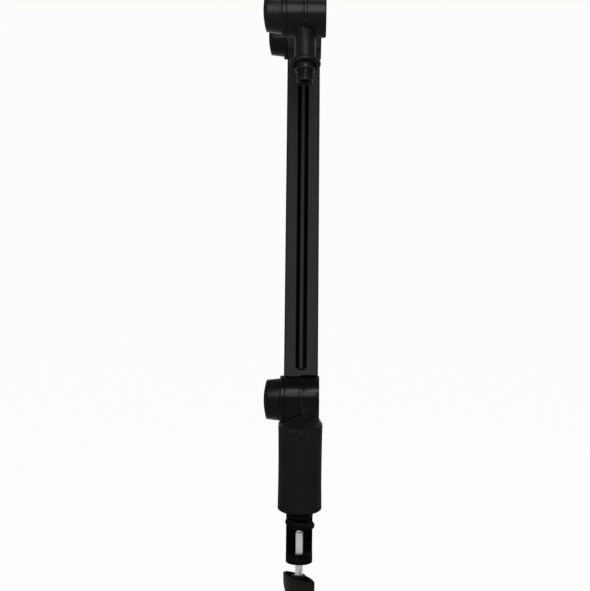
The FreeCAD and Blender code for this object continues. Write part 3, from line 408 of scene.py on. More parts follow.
class Nodes:
    """The nodes of one material, world or group, and the tools that wire them."""

    MIX_SHARE = 0
    MIX_FIRST = 6
    MIX_SECOND = 7
    MIX_RESULT = 2

    def __init__(self, tree: Tree) -> None:
        """Take the tree that the nodes are in."""
        self.tree = tree

    def fill(self, node: Node, given: Inputs) -> None:
        """Give a node's inputs their values.

        Args:
            node: The node.
            given: What goes into each input: another node's output, a colour or a number.
        """
        for label, value in given.items():
            socket = node.inputs[label]
            if isinstance(value, Socket):
                self.tree.links.new(value, socket)
            else:
                socket.default_value = (*value, 1.0) if socket.type == "RGBA" else value

    def add(self, kind: str, given: Inputs, **settings: object) -> Node:
        """Add a node.

        Args:
            kind: The node's kind.
            given: What goes into its inputs.
            settings: Its other settings.

        Returns:
            The node.
        """
        node = self.tree.nodes.new(f"ShaderNode{kind}")
        for name, value in settings.items():
            setattr(node, name, value)
        self.fill(node, given)
        return node

    def calculate(self, operation: str, *given: Socket | float, clamp: bool = False) -> Socket:
        """Add a calculation with one or two values and return its result."""
        step = self.add("Math", dict(enumerate(given)), operation=operation, use_clamp=clamp)
        return step.outputs["Value"]

    def noise(self, vector: Socket, scale: Socket | float, detail: float) -> Socket:
        """Add a noise over a vector and return its value."""
        return self.add("TexNoise", {"Vector": vector, "Scale": scale, "Detail": detail}).outputs["Fac"]

    def stretch(
        self, given: Socket, span: Span, result: Span = (0.0, 1.0), kind: str = "SMOOTHSTEP"
    ) -> Socket:
        """Stretch a span of a value's numbers over another span, which the result never passes."""
        limits = {"From Min": span[0], "From Max": span[1], "To Min": result[0], "To Max": result[1]}
        return self.add("MapRange", {"Value": given, **limits}, interpolation_type=kind).outputs["Result"]

    def mix(self, share: Socket, first: Socket | Colour, second: Socket | Colour) -> Socket:
        """Mix two colours by a mask and return the result."""
        colours = {self.MIX_SHARE: share, self.MIX_FIRST: first, self.MIX_SECOND: second}
        return self.add("Mix", colours, data_type="RGBA").outputs[self.MIX_RESULT]

    def mask(self, group: Tree, numbers: Inputs) -> Socket:
        """Add a group with numbers of its own and return its mask."""
        return self.add("Group", numbers, node_tree=group).outputs["Mask"]


class Group(Nodes):
    """One shader node group, whose inputs and outputs are numbers."""

    def __init__(self, name: str, numbers: dict[str, float], *outputs: str) -> None:
        """Make an empty group.

        Args:
            name: The group's name.
            numbers: Its inputs with their default values.
            outputs: The names of the values that it puts out.
        """
        super().__init__(bpy.data.node_groups.new(name, "ShaderNodeTree"))
        new_socket = self.tree.interface.new_socket
        for label, default in numbers.items():
            new_socket(label, in_out="INPUT", socket_type="NodeSocketFloat").default_value = default
        for label in outputs:
            new_socket(label, in_out="OUTPUT", socket_type="NodeSocketFloat")
        self.entry = self.tree.nodes.new("NodeGroupInput")
        self.exit = self.tree.nodes.new("NodeGroupOutput")

    def given(self, label: str) -> Socket:
        """Return one of the group's inputs."""
        return self.entry.outputs[label]

    def where(self) -> Socket:
        """Return the object coordinates."""
        return self.add("TexCoord", {}).outputs["Object"]

    def upwardness(self) -> Socket:
        """Return how far a face looks upwards, from -1 to 1."""
        normal = self.add("NewGeometry", {}).outputs["Normal"]
        return self.add("SeparateXYZ", {"Vector": normal}).outputs["Z"]

    def put_out(self, **results: Socket) -> Tree:
        """Join values to the group's outputs and return the finished group."""
        self.fill(self.exit, results)
        return self.tree

    def put_out_mask(self, mask: Socket) -> Tree:
        """Put out a mask, scaled by the group's amount, and return the finished group."""
        return self.put_out(Mask=self.calculate("MULTIPLY", mask, self.given("Amount")))

    def break_up(self, mask: Socket, detail: float, patches: Span) -> Socket:
        """Break a mask up with a noise at the group's patch scale and return what is left."""
        noise = self.noise(self.where(), self.given("Patch Scale"), detail)
        return self.calculate("MULTIPLY", mask, self.stretch(noise, patches))


class Effects:
    """The shader node groups that the finishes share."""

    FINE_PEEL_DENSITY = 3.1
    FINE_PEEL_SHARE = 0.35
    TOOL_LINES = (0.06, 0.06, 1.0)
    MOTTLE_SCALE_AND_DETAIL = {
        Grain.POWDER_COAT: (28.0, 5.0),
        Grain.MOULDED: (45.0, 4.0),
        Grain.TURNED: (160.0, 6.0),
        Grain.RUBBER: (70.0, 5.0),
    }

    def __init__(self) -> None:
        """Build each group once."""
        self.edge_wear = self._edge_wear()
        self.dust = self._dust()
        self.overspray = self._overspray()
        self.channel_shade = self._channel_shade()
        reliefs = {
            Grain.POWDER_COAT: self._orange_peel,
            Grain.MOULDED: self._etched_cells,
            Grain.TURNED: self._tool_lines,
            Grain.RUBBER: self._pits,
        }
        self.grains = {grain: self._grain(grain, relief) for grain, relief in reliefs.items()}

    @staticmethod
    def _edge_wear() -> Tree:
        """Make the mask of rubbed outer edges, broken up by a noise."""
        group = Group("edge_wear", {"Amount": 0.3, "Patch Scale": 180.0}, "Mask")
        sharpness = group.add("NewGeometry", {}).outputs["Pointiness"]
        edges = group.stretch(sharpness, span=(0.52, 0.60))
        return group.put_out_mask(group.break_up(edges, detail=4.0, patches=(0.42, 0.68)))

    @staticmethod
    def _dust() -> Tree:
        """Make the mask of faint dust and finger marks on faces that look upwards."""
        group = Group("dust", {"Amount": 0.1, "Patch Scale": 40.0}, "Mask")
        upward = group.stretch(group.upwardness(), span=(-0.2, 0.95))
        return group.put_out_mask(group.break_up(upward, detail=6.0, patches=(0.35, 0.75)))

    @staticmethod
    def _overspray() -> Tree:
        """Make the mask of the dry, dull coat that a spray gun leaves on faces that look downwards."""
        group = Group("overspray", {"Amount": 0.3}, "Mask")
        downward = group.calculate("MULTIPLY", group.upwardness(), -1.0)
        return group.put_out_mask(group.stretch(downward, span=(0.15, 0.75)))

    @staticmethod
    def _channel_shade() -> Tree:
        """Make the mask of the painted shade along a cable channel's walls and in its two ends, where the
        real walls cast shadow.
        """
        lengths = {"Along Y": 0.0, "Along Z": 1.0, "Middle": 0.0, "Half Length": 0.2}
        group = Group("channel_shade", lengths, "Mask")
        place = group.add("SeparateXYZ", {"Vector": group.where()}).outputs
        # Painted shade: darker towards the channel's two walls, away from its lit middle.
        off_centre = group.calculate("ABSOLUTE", place["X"])
        walls = group.stretch(off_centre, span=(0.9 * MM, 2.3 * MM))
        # Painted shade: darker in the channel's two round ends, where the end walls cast their shadow.
        run = group.calculate("MULTIPLY", place["Y"], group.given("Along Y"))
        rise = group.calculate("MULTIPLY", place["Z"], group.given("Along Z"))
        station = group.calculate("SUBTRACT", group.calculate("ADD", run, rise), group.given("Middle"))
        off_middle = group.calculate("ABSOLUTE", station)
        beyond = group.calculate("SUBTRACT", off_middle, group.given("Half Length"))
        ends = group.stretch(beyond, span=(-5.8 * MM, -4.2 * MM))
        return group.put_out(Mask=group.calculate("MAXIMUM", walls, ends))

    def _grain(self, grain: Grain, relief: Callable[[Group, Socket, Socket], Socket]) -> Tree:
        """Make the group of a grain's height and of the slow mottle in its colour and gloss.

        Args:
            grain: The grain.
            relief: What adds the grain's height, from the object coordinates and the grains per metre.

        Returns:
            The group.
        """
        sizes = {"Size": 0.6 * MM, "Depth": 0.006 * MM}
        group = Group(f"{grain.value}_grain", sizes, "Height", "Mottle")
        where = group.where()
        height = relief(group, where, group.calculate("DIVIDE", 1.0, group.given("Size")))
        deep = group.calculate("MULTIPLY", height, group.given("Depth"))
        return group.put_out(Height=deep, Mottle=group.noise(where, *self.MOTTLE_SCALE_AND_DETAIL[grain]))

    def _orange_peel(self, group: Group, where: Socket, density: Socket) -> Socket:
        """Add the soft orange peel of a sprayed powder coat and return its height."""
        peel = group.noise(where, density, detail=2.0)
        finer = group.calculate("MULTIPLY", density, self.FINE_PEEL_DENSITY)
        fine = group.noise(where, finer, detail=1.0)
        return group.calculate("ADD", peel, group.calculate("MULTIPLY", fine, self.FINE_PEEL_SHARE))

    @staticmethod
    def _etched_cells(group: Group, where: Socket, density: Socket) -> Socket:
        """Add the etched leather-like cells of a moulding tool and return their height."""
        cells = group.add("TexVoronoi", {"Vector": where, "Scale": density}, feature="SMOOTH_F1")
        return cells.outputs["Distance"]

    def _tool_lines(self, group: Group, where: Socket, density: Socket) -> Socket:
        """Add the fine tool lines of a turned metal and return their height."""
        lines = group.add("Mapping", {"Vector": where, "Scale": self.TOOL_LINES})
        return group.noise(lines.outputs["Vector"], density, detail=3.0)

    @staticmethod
    def _pits(group: Group, where: Socket, density: Socket) -> Socket:
        """Add the dull pits of moulded rubber and return their height."""
        return group.stretch(group.noise(where, density, detail=5.0), span=(0.3, 0.7))


class PaintShop:
    """Makes each finish's material once and puts it on pieces."""

    MOTTLE_SHARES = (0.90, 1.10)
    GLOSS_MOTTLE = (0.3, 0.7)
    DUST_COLOUR = (0.16, 0.155, 0.15)
    # The near-black colour of the painted shade in the cable channels.
    SHADE_COLOUR = (0.0008, 0.0008, 0.0008)
    BUMP_DISTANCE = 1.0

    def __init__(self) -> None:
        """Build the shared effects."""
        self.effects = Effects()
        self._materials: dict[str, Material] = {}

    def material(self, finish: Finish) -> Material:
        """Return the material of a finish, made on first use."""
        if finish.name not in self._materials:
            self._materials[finish.name] = self._make(finish)
        return self._materials[finish.name]

    def _make(self, finish: Finish) -> Material:
        """Build a finish's material from a shader and the shared groups.

        Args:
            finish: The finish.

        Returns:
            The new material.
        """
        material = bpy.data.materials.new(finish.name)
        material.use_nodes = True
        nodes = Nodes(material.node_tree)
        relief = dict(zip(("Size", "Depth"), finish.relief))
        grain = nodes.add("Group", relief, node_tree=self.effects.grains[finish.grain])
        mottle = grain.outputs["Mottle"]
        wear = nodes.mask(self.effects.edge_wear, {"Amount": finish.wear})
        dust = nodes.mask(self.effects.dust, {"Amount": finish.dust})

        dark, light = (tuple(share * c for c in finish.colour) for share in self.MOTTLE_SHARES)
        worn = nodes.mix(wear, nodes.mix(mottle, dark, light), finish.worn_colour)
        gloss = nodes.stretch(mottle, self.GLOSS_MOTTLE, finish.roughness, "LINEAR")
        dull = nodes.calculate("ADD", gloss, dust, clamp=True)
        if finish.overspray:
            overspray = nodes.mask(self.effects.overspray, {"Amount": finish.overspray})
            dull = nodes.calculate("ADD", dull, overspray, clamp=True)
        bump = nodes.add("Bump", {"Height": grain.outputs["Height"], "Distance": self.BUMP_DISTANCE})
        skin = {
            "Base Color": nodes.mix(dust, worn, self.DUST_COLOUR),
            "Metallic": finish.metallic,
            "Specular IOR Level": finish.specular,
            "Roughness": dull,
            "Normal": bump.outputs["Normal"],
        }
        nodes.fill(nodes.tree.nodes["Principled BSDF"], skin)
        return material

    @staticmethod
    def _put_on(piece: Piece, material: Material) -> None:
        """Give a whole piece one material."""
        piece.data.materials.clear()
        piece.data.materials.append(material)

    def coat(self, piece: Piece, finish: Finishes) -> None:
        """Give a whole piece one finish."""
        self._put_on(piece, self.material(finish.value))

    def coat_channel(self, piece: Piece, finish: Finishes, start: Vector, end: Vector) -> None:
        """Give a cable liner its finish, with painted shade along its channel's walls and in its ends.

        Args:
            piece: The liner.
            finish: Its finish.
            start: The channel's first end.
            end: The channel's last end.
        """
        material = self._make(finish.value)
        material.name = f"{piece.name}_coat"
        nodes = Nodes(material.node_tree)
        along = (end - start).normalized()
        lengths = {
            "Along Y": along.y,
            "Along Z": along.z,
            "Middle": along.dot(start + end) / 2,
            "Half Length": (end - start).length / 2,
        }
        # Painted shade: the liner's colour turns near-black along the channel's walls and in its ends, where
        # the walls cast shadow.
        shade = nodes.mask(self.effects.channel_shade, lengths)
        shader = nodes.tree.nodes["Principled BSDF"]
        unshaded = shader.inputs["Base Color"].links[0].from_socket
        nodes.fill(shader, {"Base Color": nodes.mix(shade, unshaded, self.SHADE_COLOUR)})
        self._put_on(piece, material)

    def coat_part(
        self, piece: Piece, finish: Finishes, wanted: Callable[[bpy.types.MeshPolygon], bool]
    ) -> None:
        """Give a second finish to some of a piece's faces.

        Args:
            piece: A piece that has its main finish.
            finish: The second finish.
            wanted: Whether a face gets it.
        """
        piece.data.materials.append(self.material(finish.value))
        second = len(piece.data.materials) - 1
        for face in piece.data.polygons:
            if wanted(face):
                face.material_index = second


# The sub-assemblies


@dataclass
class Workshop:
    """What every sub-assembly works with: the frame, its places and the paint shop."""

    frame: dict
    paint: PaintShop
    flat_angle: float = 0.4
    edge_angle: float = 28.0
    edge_segments: int = 3
    smoothing: float = 30.0
    places: dict[str, Vector] = field(default_factory=dict)
    pivots: dict[str, Vector] = field(default_factory=dict)
    bodies: dict[str, str] = field(default_factory=dict)
    slots: dict[str, str] = field(default_factory=dict)

    def __post_init__(self) -> None:
        """Read the joints' places and each node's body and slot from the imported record."""
        record = self.frame["record"]
        for joint in self.frame["joints"]:
            if joint.get("pos_m"):
                self.places[joint["name"]] = Vector(joint["pos_m"])
        for hinge in HINGES:
            self.pivots[hinge] = self.places[f"{hinge}_tilt"]
        for body, nodes in record["behaviour"]["bodies"].items():
            for name in nodes:
                self.bodies[name] = body
        for part in record["subparts"]:
            self.slots[part["node"]] = part["material_slot"]

    def mount(self, name: str) -> tuple[Vector, float]:
        """Return a mount's axis and radius from the record."""
        found = next(m for m in self.frame["record"]["mounts"] if m["name"] == name)
        return Vector(found["axis"]), found["dims"]["r_mm"] * MM

    def reach(self, name: str, origin: Vector, axis: Vector) -> Span:
        """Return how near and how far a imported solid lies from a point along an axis."""
        stations = [(vertex.co - origin).dot(axis) for vertex in self.frame["nodes"][name].data.vertices]
        return min(stations), max(stations)

    def dress(self, finish: Finishes, *names: str) -> None:
        """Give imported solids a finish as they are."""
        for name in names:
            self.paint.coat(self.frame["nodes"][name], finish)
            LOG.info("%s keeps its solid in %s", name, finish.value.name)

    def stand_in(self, piece: Piece, name: str, finish: Finishes) -> None:
        """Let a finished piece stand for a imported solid."""
        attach(piece, self.bodies[name])
        self._answer_for(piece, name, finish)

    def wind_between(
        self, piece: Piece, name: str, finish: Finishes, far_body: str, reach: tuple[Vector, Vector]
    ) -> None:
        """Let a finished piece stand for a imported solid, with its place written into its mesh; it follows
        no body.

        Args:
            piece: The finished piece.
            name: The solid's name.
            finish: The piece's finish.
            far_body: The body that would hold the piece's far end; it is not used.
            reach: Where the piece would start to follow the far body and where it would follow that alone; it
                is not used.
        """
        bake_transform(piece)
        self._answer_for(piece, name, finish)

    def _answer_for(self, piece: Piece, name: str, finish: Finishes) -> None:
        """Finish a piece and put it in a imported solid's place."""
        self.paint.coat(piece, finish)
        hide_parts(name)
        LOG.info("%s stands for %s in %s", piece.name, name, finish.value.name)

    def soften(
        self, name: str, finish: Finishes, width: float, shape: Callable[[Piece], None] | None = None
    ) -> Piece:
        """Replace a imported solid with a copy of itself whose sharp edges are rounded.

        Args:
            name: The solid's name.
            finish: The copy's finish.
            width: How wide the rounds are.
            shape: Work that is done on the copy before its edges are rounded.

        Returns:
            The copy.
        """
        piece = twin(self.frame["nodes"][name], f"{name}_soft")
        close_skin(piece)
        bpy.ops.mesh.customdata_custom_splitnormals_clear()
        with editing(piece):
            bpy.ops.mesh.dissolve_limited(angle_limit=math.radians(self.flat_angle))
        if shape:
            shape(piece)
        edges = {"limit_method": "ANGLE", "angle_limit": math.radians(self.edge_angle)}
        modify(piece, "BEVEL", **edges, width=width, segments=self.edge_segments, miter_outer="MITER_ARC")
        smooth(piece, self.smoothing)
        self.stand_in(piece, name, finish)
        return piece


@dataclass
class ThreadForm:
    """A V thread: its outside radius, pitch and depth, and its crest and root as shares of the pitch."""

    radius: float
    pitch: float
    depth: float
    crest: float = 0.125
    root: float = 0.25
    sunk: float = 0.05 * MM

    def ridge(self, name: str, foot: float, top: float, steps: int, inward: bool = False) -> Piece:
        """Wind the thread's ridge along Z between two heights.

        Args:
            name: The piece's name.
            foot: The lower end.
            top: The upper end.
            steps: How many steps make one turn.
            inward: Whether the ridge stands on a hole's wall and points at its middle.

        Returns:
            The ridge, with its base sunk into the wall that it stands on.
        """
        base, edge = self.radius - self.depth - self.sunk, self.radius
        if inward:
            base, edge = self.radius + self.sunk, self.radius - self.depth
        wide = (1.0 - self.root) * self.pitch / 2
        narrow = self.crest * self.pitch / 2
        start = foot + wide
        section = [(base, -wide), (edge, -narrow), (edge, narrow), (base, wide), (base, -wide)]
        piece = draw(name, [(radius, 0.0, start + height) for radius, height in section])
        turns = math.floor((top - foot - 2 * wide) / self.pitch)
        wind(piece, self.pitch, turns, steps)
        return piece


@dataclass
class Clamp:
    """The desk clamp: frame, rubbers, screw, foot and handle."""

    shop: Workshop
    frame_edge: float = 0.7 * MM
    handle_edge: float = 0.7 * MM
    plate_edge: float = 0.3 * MM
    rod_thread: ThreadForm = field(default_factory=lambda: ThreadForm(4.0 * MM, 1.25 * MM, 0.62 * MM))
    rod_steps: int = 40
    rod_edge: float = 0.8 * MM
    nut_sides: int = 6
    nut_flats: float = 13.0 * MM
    nut_chamfer: float = 0.7 * MM
    nut_inset: float = 0.2 * MM
    nut_margin: float = 1.02
    nut_turn: float = -52.5
    nut_steps: int = 72
    nut_smoothing: float = 18.0
    pad_seat: float = 5.2 * MM
    pad_thickness: float = 2.0 * MM
    pad_edge: float = 0.4 * MM
    pad_tilt: float = 9.0
    pad_steps: int = 64
    groove_count: int = 4
    groove_width: float = 0.9 * MM
    groove_depth: float = 0.5 * MM

    def build(self) -> None:
        """Make and dress every piece of the clamp."""
        self.shop.soften("clamp_frame", Finishes.FRAME_COAT, self.frame_edge)
        self.shop.soften("clamp_handle", Finishes.HANDLE_MOULDING, self.handle_edge)
        self.shop.soften("foot_plate", Finishes.FRAME_COAT, self.plate_edge)
        self.shop.dress(Finishes.RUBBER, "jaw_pad")
        self.shop.dress(Finishes.ZINC, "swivel_post", "post_screw", "ball_tip")
        self.shop.dress(Finishes.BLACK_STEEL, "thread_bush")
        self._foot_pad()
        self._rod()
        self._nut()

    def _foot_pad(self) -> None:
        """Mould the foot's rubber with rings that grip, on the tipped foot."""
        low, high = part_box("foot_pad")
        radius = (high.y - low.y) / 2
        top = self.pad_seat + self.pad_thickness
        floor = top - self.groove_depth
        outline = [(0.0, self.pad_seat), (radius, self.pad_seat)]
        outline += [(radius, top - self.pad_edge), (radius - self.pad_edge, top)]
        spacing = radius / (self.groove_count + 1)
        for ring in range(self.groove_count, 0, -1):
            middle = ring * spacing
            outline += [(middle + self.groove_width, top), (middle + self.groove_width / 2, floor)]
            outline += [(middle - self.groove_width / 2, floor), (middle - self.groove_width, top)]
        outline.append((0.0, top))
        pad = turn("foot_pad_ringed", outline, self.pad_steps)
        tilt = Matrix.Rotation(math.radians(self.pad_tilt), 4, "Y")
        settle(pad, Matrix.Translation(self.shop.places["foot_swivel"]) @ tilt)
        smooth(pad, TURNED_ANGLE)
        self.shop.stand_in(pad, "foot_pad", Finishes.RUBBER)

    def _rod(self) -> None:
        """Turn the clamp rod with a bevel at each end and wind its thread from end to end."""
        low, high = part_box("clamp_rod")
        core = self.rod_thread.radius - self.rod_thread.depth
        side = bevelled(core, low.z, high.z, self.rod_edge)
        rod = turn("clamp_rod_core", [(0.0, low.z), *side, (0.0, high.z)], self.rod_steps)
        ridge = self.rod_thread.ridge("clamp_rod_ridge", low.z, high.z, self.rod_steps)
        joined = join([rod, ridge], "clamp_rod_threaded")
        smooth(joined, TURNED_ANGLE)
        self.shop.stand_in(joined, "clamp_rod", Finishes.ZINC)

    def _nut(self) -> None:
        """Make the lock nut: a hexagon turned down at both faces and bored for the rod."""
        low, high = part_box("handle_nut")
        flat = self.nut_flats / 2
        corner = flat / math.cos(math.pi / self.nut_sides)
        bore = self.rod_thread.radius
        edge = flat - self.nut_inset
        rim = corner * self.nut_margin
        nut = prism("handle_nut_chamfered", self.nut_sides, corner, low.z, high.z)
        settle(nut, Matrix.Rotation(math.radians(self.nut_turn + 180.0 / self.nut_sides), 4, "Z"))
        outline = [(bore, low.z), (edge, low.z), (rim, low.z + self.nut_chamfer)]
        outline += [(rim, high.z - self.nut_chamfer), (edge, high.z), (bore, high.z), (bore, low.z)]
        combine(nut, turn("nut_turning", outline, self.nut_steps), "INTERSECT")
        smooth(nut, self.nut_smoothing)
        self.shop.stand_in(nut, "handle_nut", Finishes.BLACK_STEEL)


@dataclass
class Riser:
    """The turning riser on its post."""

    shop: Workshop
    cap_edge: float = 0.5 * MM

    def build(self) -> None:
        """Dress the riser's tube, cap, bushes and washer."""
        self.shop.dress(Finishes.RISER_COAT, "riser_tube")
        self.shop.soften("riser_head", Finishes.CAST_COAT, self.cap_edge)
        self.shop.dress(Finishes.NYLON, "lower_bush", "upper_bush", "thrust_washer")


@dataclass
class Hinge:
    """One knob-tightened hinge."""

    shop: Workshop
    name: str
    sprung: bool
    knob_edge: float = 0.4 * MM
    cover_edge: float = 0.25 * MM
    face_spread: float = 40.0
    leg_length: float = 2.0 * MM
    leg_bend: float = 2.2 * MM
    wire_smoothing: float = 40.0

    def build(self) -> None:
        """Dress the hinge's pieces."""
        knob = self.shop.soften(f"{self.name}_knob", Finishes.KNOB_MOULDING, self.knob_edge)
        nearest = math.cos(math.radians(self.face_spread))
        self.shop.paint.coat_part(knob, Finishes.KNOB_FACE, lambda face: -face.normal.x > nearest)
        self.shop.soften(f"{self.name}_end_cap", Finishes.KNOB_MOULDING, self.cover_edge)
        self.shop.soften(f"{self.name}_pressure_plate", Finishes.CAST_COAT, self.cover_edge)
        self.shop.dress(Finishes.CAST_COAT, f"{self.name}_friction_washer")
        self.shop.dress(Finishes.NYLON, f"{self.name}_bush")
        self.shop.dress(Finishes.ZINC, f"{self.name}_bolt")
        self.shop.dress(Finishes.BLACK_STEEL, f"{self.name}_spring_washer")
        self.shop.dress(Finishes.BRASS, f"{self.name}_knob_insert")
        if self.sprung:
            self._spring()

    def _spring(self) -> None:
        """Replace the torsion spring with a smooth-shaded copy; the stations of its left leg in the hub and
        its right leg in the ear are worked out, but nothing makes it wind up.
        """
        name = f"{self.name}_spring"
        piece = twin(self.shop.frame["nodes"][name], f"{name}_coil")
        close_skin(piece)
        smooth(piece, self.wire_smoothing)
        pivot = self.shop.pivots[self.name]
        leg_foot, _ = self.shop.reach(name, pivot, SIDEWAYS)
        washer_face, _ = self.shop.reach(f"{self.name}_friction_washer", pivot, SIDEWAYS)
        stations = (leg_foot + self.leg_length + self.leg_bend, washer_face - self.leg_bend)
        start, end = (pivot + SIDEWAYS * station for station in stations)
        ear_body = self.shop.bodies[f"{self.name}_bolt"]
        self.shop.wind_between(piece, name, Finishes.ZINC, ear_body, (start, end))


@dataclass
class Arm:
    """One slotted arm with its end castings, liner and screws.

    A tube that is drawn up to its hinges is hollowed there by rounds about the hinge pin, each given by its
    left end, right end and radius. Beside the riser's ear the round is wider, which leaves the cap its room.
    """

    shop: Workshop
    name: str
    first: str
    last: str
    drawn: bool
    tube_edge: float = 0.35 * MM
    casting_edge: float = 0.3 * MM
    slot_start: float = 27.7 * MM
    end_zone: float = 26.5 * MM
    end_draw: float = 6.0 * MM
    foot_rounds: tuple[Point, ...] = ((-25.0 * MM, 0.2 * MM, 26.0 * MM), (0.0, 25.0 * MM, 27.1 * MM))
    top_rounds: tuple[Point, ...] = ((-25.0 * MM, 25.0 * MM, 26.0 * MM),)
    round_sides: int = 128
    half_depth: float = 15.0 * MM
    screw_station: float = 45.0 * MM
    screw_spacing: float = 16.0 * MM
    screw_radius: float = 2.0 * MM
    screw_length: float = 9.0 * MM
    screw_steps: int = 48
    head_radius: float = 3.8 * MM
    head_rim: float = 0.25 * MM
    socket_sides: int = 6
    socket_flats: float = 2.5 * MM
    socket_depth: float = 1.5 * MM

    def build(self) -> None:
        """Make and dress the arm's pieces."""
        end_work = self._draw_ends if self.drawn else None
        self.shop.soften(f"{self.name}_tube", Finishes.TUBE_COAT, self.tube_edge, shape=end_work)
        self._liner()
        for casting in ("hub", "ear"):
            self.shop.soften(f"{self.name}_{casting}", Finishes.CAST_COAT, self.casting_edge)
        self._screws()

    def _line(self) -> tuple[Vector, Vector, Vector]:
        """Return the arm's first pivot, its last pivot and the direction from one to the other."""
        start = self.shop.pivots[self.first]
        end = self.shop.pivots[self.last]
        return start, end, (end - start).normalized()

    def _liner(self) -> None:
        """Dress the cable liner, with painted shade along the slot's walls and in its ends."""
        start, end, along = self._line()
        inset = along * self.slot_start
        liner = self.shop.frame["nodes"][f"{self.name}_cable_liner"]
        self.shop.paint.coat_channel(liner, Finishes.LINER_MOULDING, start + inset, end - inset)
        LOG.info("%s keeps its solid in a shaded finish", liner.name)

    def _draw_ends(self, tube: Piece) -> None:
        """Draw the tube's two ends up to the hinges and hollow them to the barrels."""
        start, end, along = self._line()
        for pivot, inward, rounds in ((start, along, self.foot_rounds), (end, -along, self.top_rounds)):
            pull(tube, lambda spot: (spot - pivot).dot(inward) < self.end_zone, inward * -self.end_draw)
            for left, right, radius in rounds:
                barrel = prism("barrel_round", self.round_sides, radius, left, right)
                settle(barrel, frame_along(pivot, SIDEWAYS, along))
                combine(tube, barrel, "DIFFERENCE")

    def _screw(self) -> Piece:
        """Make one countersunk screw along Z with its head's face at zero and a hexagon socket in it."""
        cone = self.head_radius - self.screw_radius
        outline = [
            (0.0, -self.screw_length),
            (self.screw_radius - self.head_rim, -self.screw_length),
            (self.screw_radius, self.head_rim - self.screw_length),
            (self.screw_radius, -cone),
            (self.head_radius, -self.head_rim),
            (self.head_radius - self.head_rim, 0.0),
            (0.0, 0.0),
        ]
        screw = turn(f"{self.name}_screw", outline, self.screw_steps)
        corner = self.socket_flats / 2 / math.cos(math.pi / self.socket_sides)
        socket = prism("socket", self.socket_sides, corner, -self.socket_depth, self.socket_depth)
        combine(screw, socket, "DIFFERENCE")
        return screw

    def _screws(self) -> None:
        """Set the four screws that hold the castings into the tube's back."""
        start, end, along = self._line()
        back = along.cross(SIDEWAYS)
        pattern = self._screw()
        screws = []
        for pivot, inward in ((start, along), (end, -along)):
            for side in (-1, 1):
                across = SIDEWAYS * (side * self.screw_spacing / 2)
                spot = pivot + inward * self.screw_station + back * self.half_depth + across
                screw = twin(pattern, f"{self.name}_screw")
                settle(screw, frame_along(spot, back, SIDEWAYS))
                screws.append(screw)
        bpy.data.objects.remove(pattern)
        joined = join(screws, f"{self.name}_socket_screws")
        smooth(joined, TURNED_ANGLE)
        self.shop.stand_in(joined, f"{self.name}_screws", Finishes.BLACK_STEEL)


@dataclass
class MicHead:
    """The tilting head with its flange and threaded stud."""

    shop: Workshop
    casting_edge: float = 0.3 * MM
    hub_radius: float = 25.6 * MM
    nose_pitch: float = INCH / 27
    nose_depth: float = 0.55 * MM
    end_pitch: float = INCH / 16
    end_depth: float = 0.85 * MM
    nose_length: float = 11.0 * MM
    nose_edge: float = 0.9 * MM
    collar_length: float = 9.3 * MM
    collar_radius: float = 8.9 * MM
    collar_edge: float = 0.8 * MM
    shank_radius: float = 6.0 * MM
    end_hole_depth: float = 12.0 * MM
    mouth: float = 0.7 * MM
    stud_steps: int = 72
    thread_steps: int = 48

    def build(self) -> None:
        """Make and dress the head's pieces, with a duller coat on the stub than on the hub."""
        body = self.shop.soften("head_body", Finishes.CAST_COAT, self.casting_edge)
        self.shop.soften("head_flange", Finishes.STUB_COAT, self.casting_edge)
        self.shop.paint.coat_part(body, Finishes.STUB_COAT, self._is_stub)
        self._stud()

    def _is_stub(self, face: bpy.types.MeshPolygon) -> bool:
        """Tell whether a face of the head lies outside its round hub."""
        return (face.center - self.shop.pivots["head"]).cross(SIDEWAYS).length > self.hub_radius

    def _stud(self) -> None:
        """Make the stud: a shank, a plain collar, and a nose that is threaded outside and inside."""
        pivot = self.shop.pivots["head"]
        axis, nose_radius = self.shop.mount("mic_stud_outside")
        _, hole_radius = self.shop.mount("mic_stud_inside")
        foot, tip = self.shop.reach("mic_stud", pivot, axis)
        shoulder = tip - self.nose_length
        hole_end = tip - self.end_hole_depth
        outer = ThreadForm(nose_radius, self.nose_pitch, self.nose_depth)
        inner = ThreadForm(hole_radius, self.end_pitch, self.end_depth)
        pieces = [
            self._blank(foot, tip, nose_radius - self.nose_depth, hole_radius),
            outer.ridge("nose_ridge", shoulder, tip - self.nose_edge / 2, self.thread_steps),
            inner.ridge("hole_ridge", hole_end, tip - self.mouth, self.thread_steps, inward=True),
        ]
        joined = join(pieces, "mic_stud_threaded")
        settle(joined, frame_along(pivot, axis, SIDEWAYS))
        smooth(joined, TURNED_ANGLE)
        self.shop.stand_in(joined, "mic_stud", Finishes.BLACK_STEEL)

    def _blank(self, foot: float, tip: float, nose_radius: float, hole_radius: float) -> Piece:
        """Turn the stud before its threads are cut: shank, collar, nose and end hole.

        Args:
            foot: Where the shank starts, along the stud.
            tip: Where the nose ends.
            nose_radius: The nose's radius between the turns of its thread.
            hole_radius: The end hole's radius.

        Returns:
            The piece, along Z.
        """
        shoulder = tip - self.nose_length
        seat = shoulder - self.collar_length
        hole_end = tip - self.end_hole_depth
        outline = [
            (0.0, foot),
            (self.shank_radius, foot),
            (self.shank_radius, seat),
            *bevelled(self.collar_radius, seat, shoulder, self.collar_edge),
            (nose_radius, shoulder),
            (nose_radius, tip - self.nose_edge),
            (nose_radius - self.nose_edge / 2, tip),
            (hole_radius + self.mouth, tip),
            (hole_radius, tip - self.mouth),
            (hole_radius, hole_end),
            (0.0, hole_end),
        ]
        return turn("stud_blank", outline, self.stud_steps)


# The studio


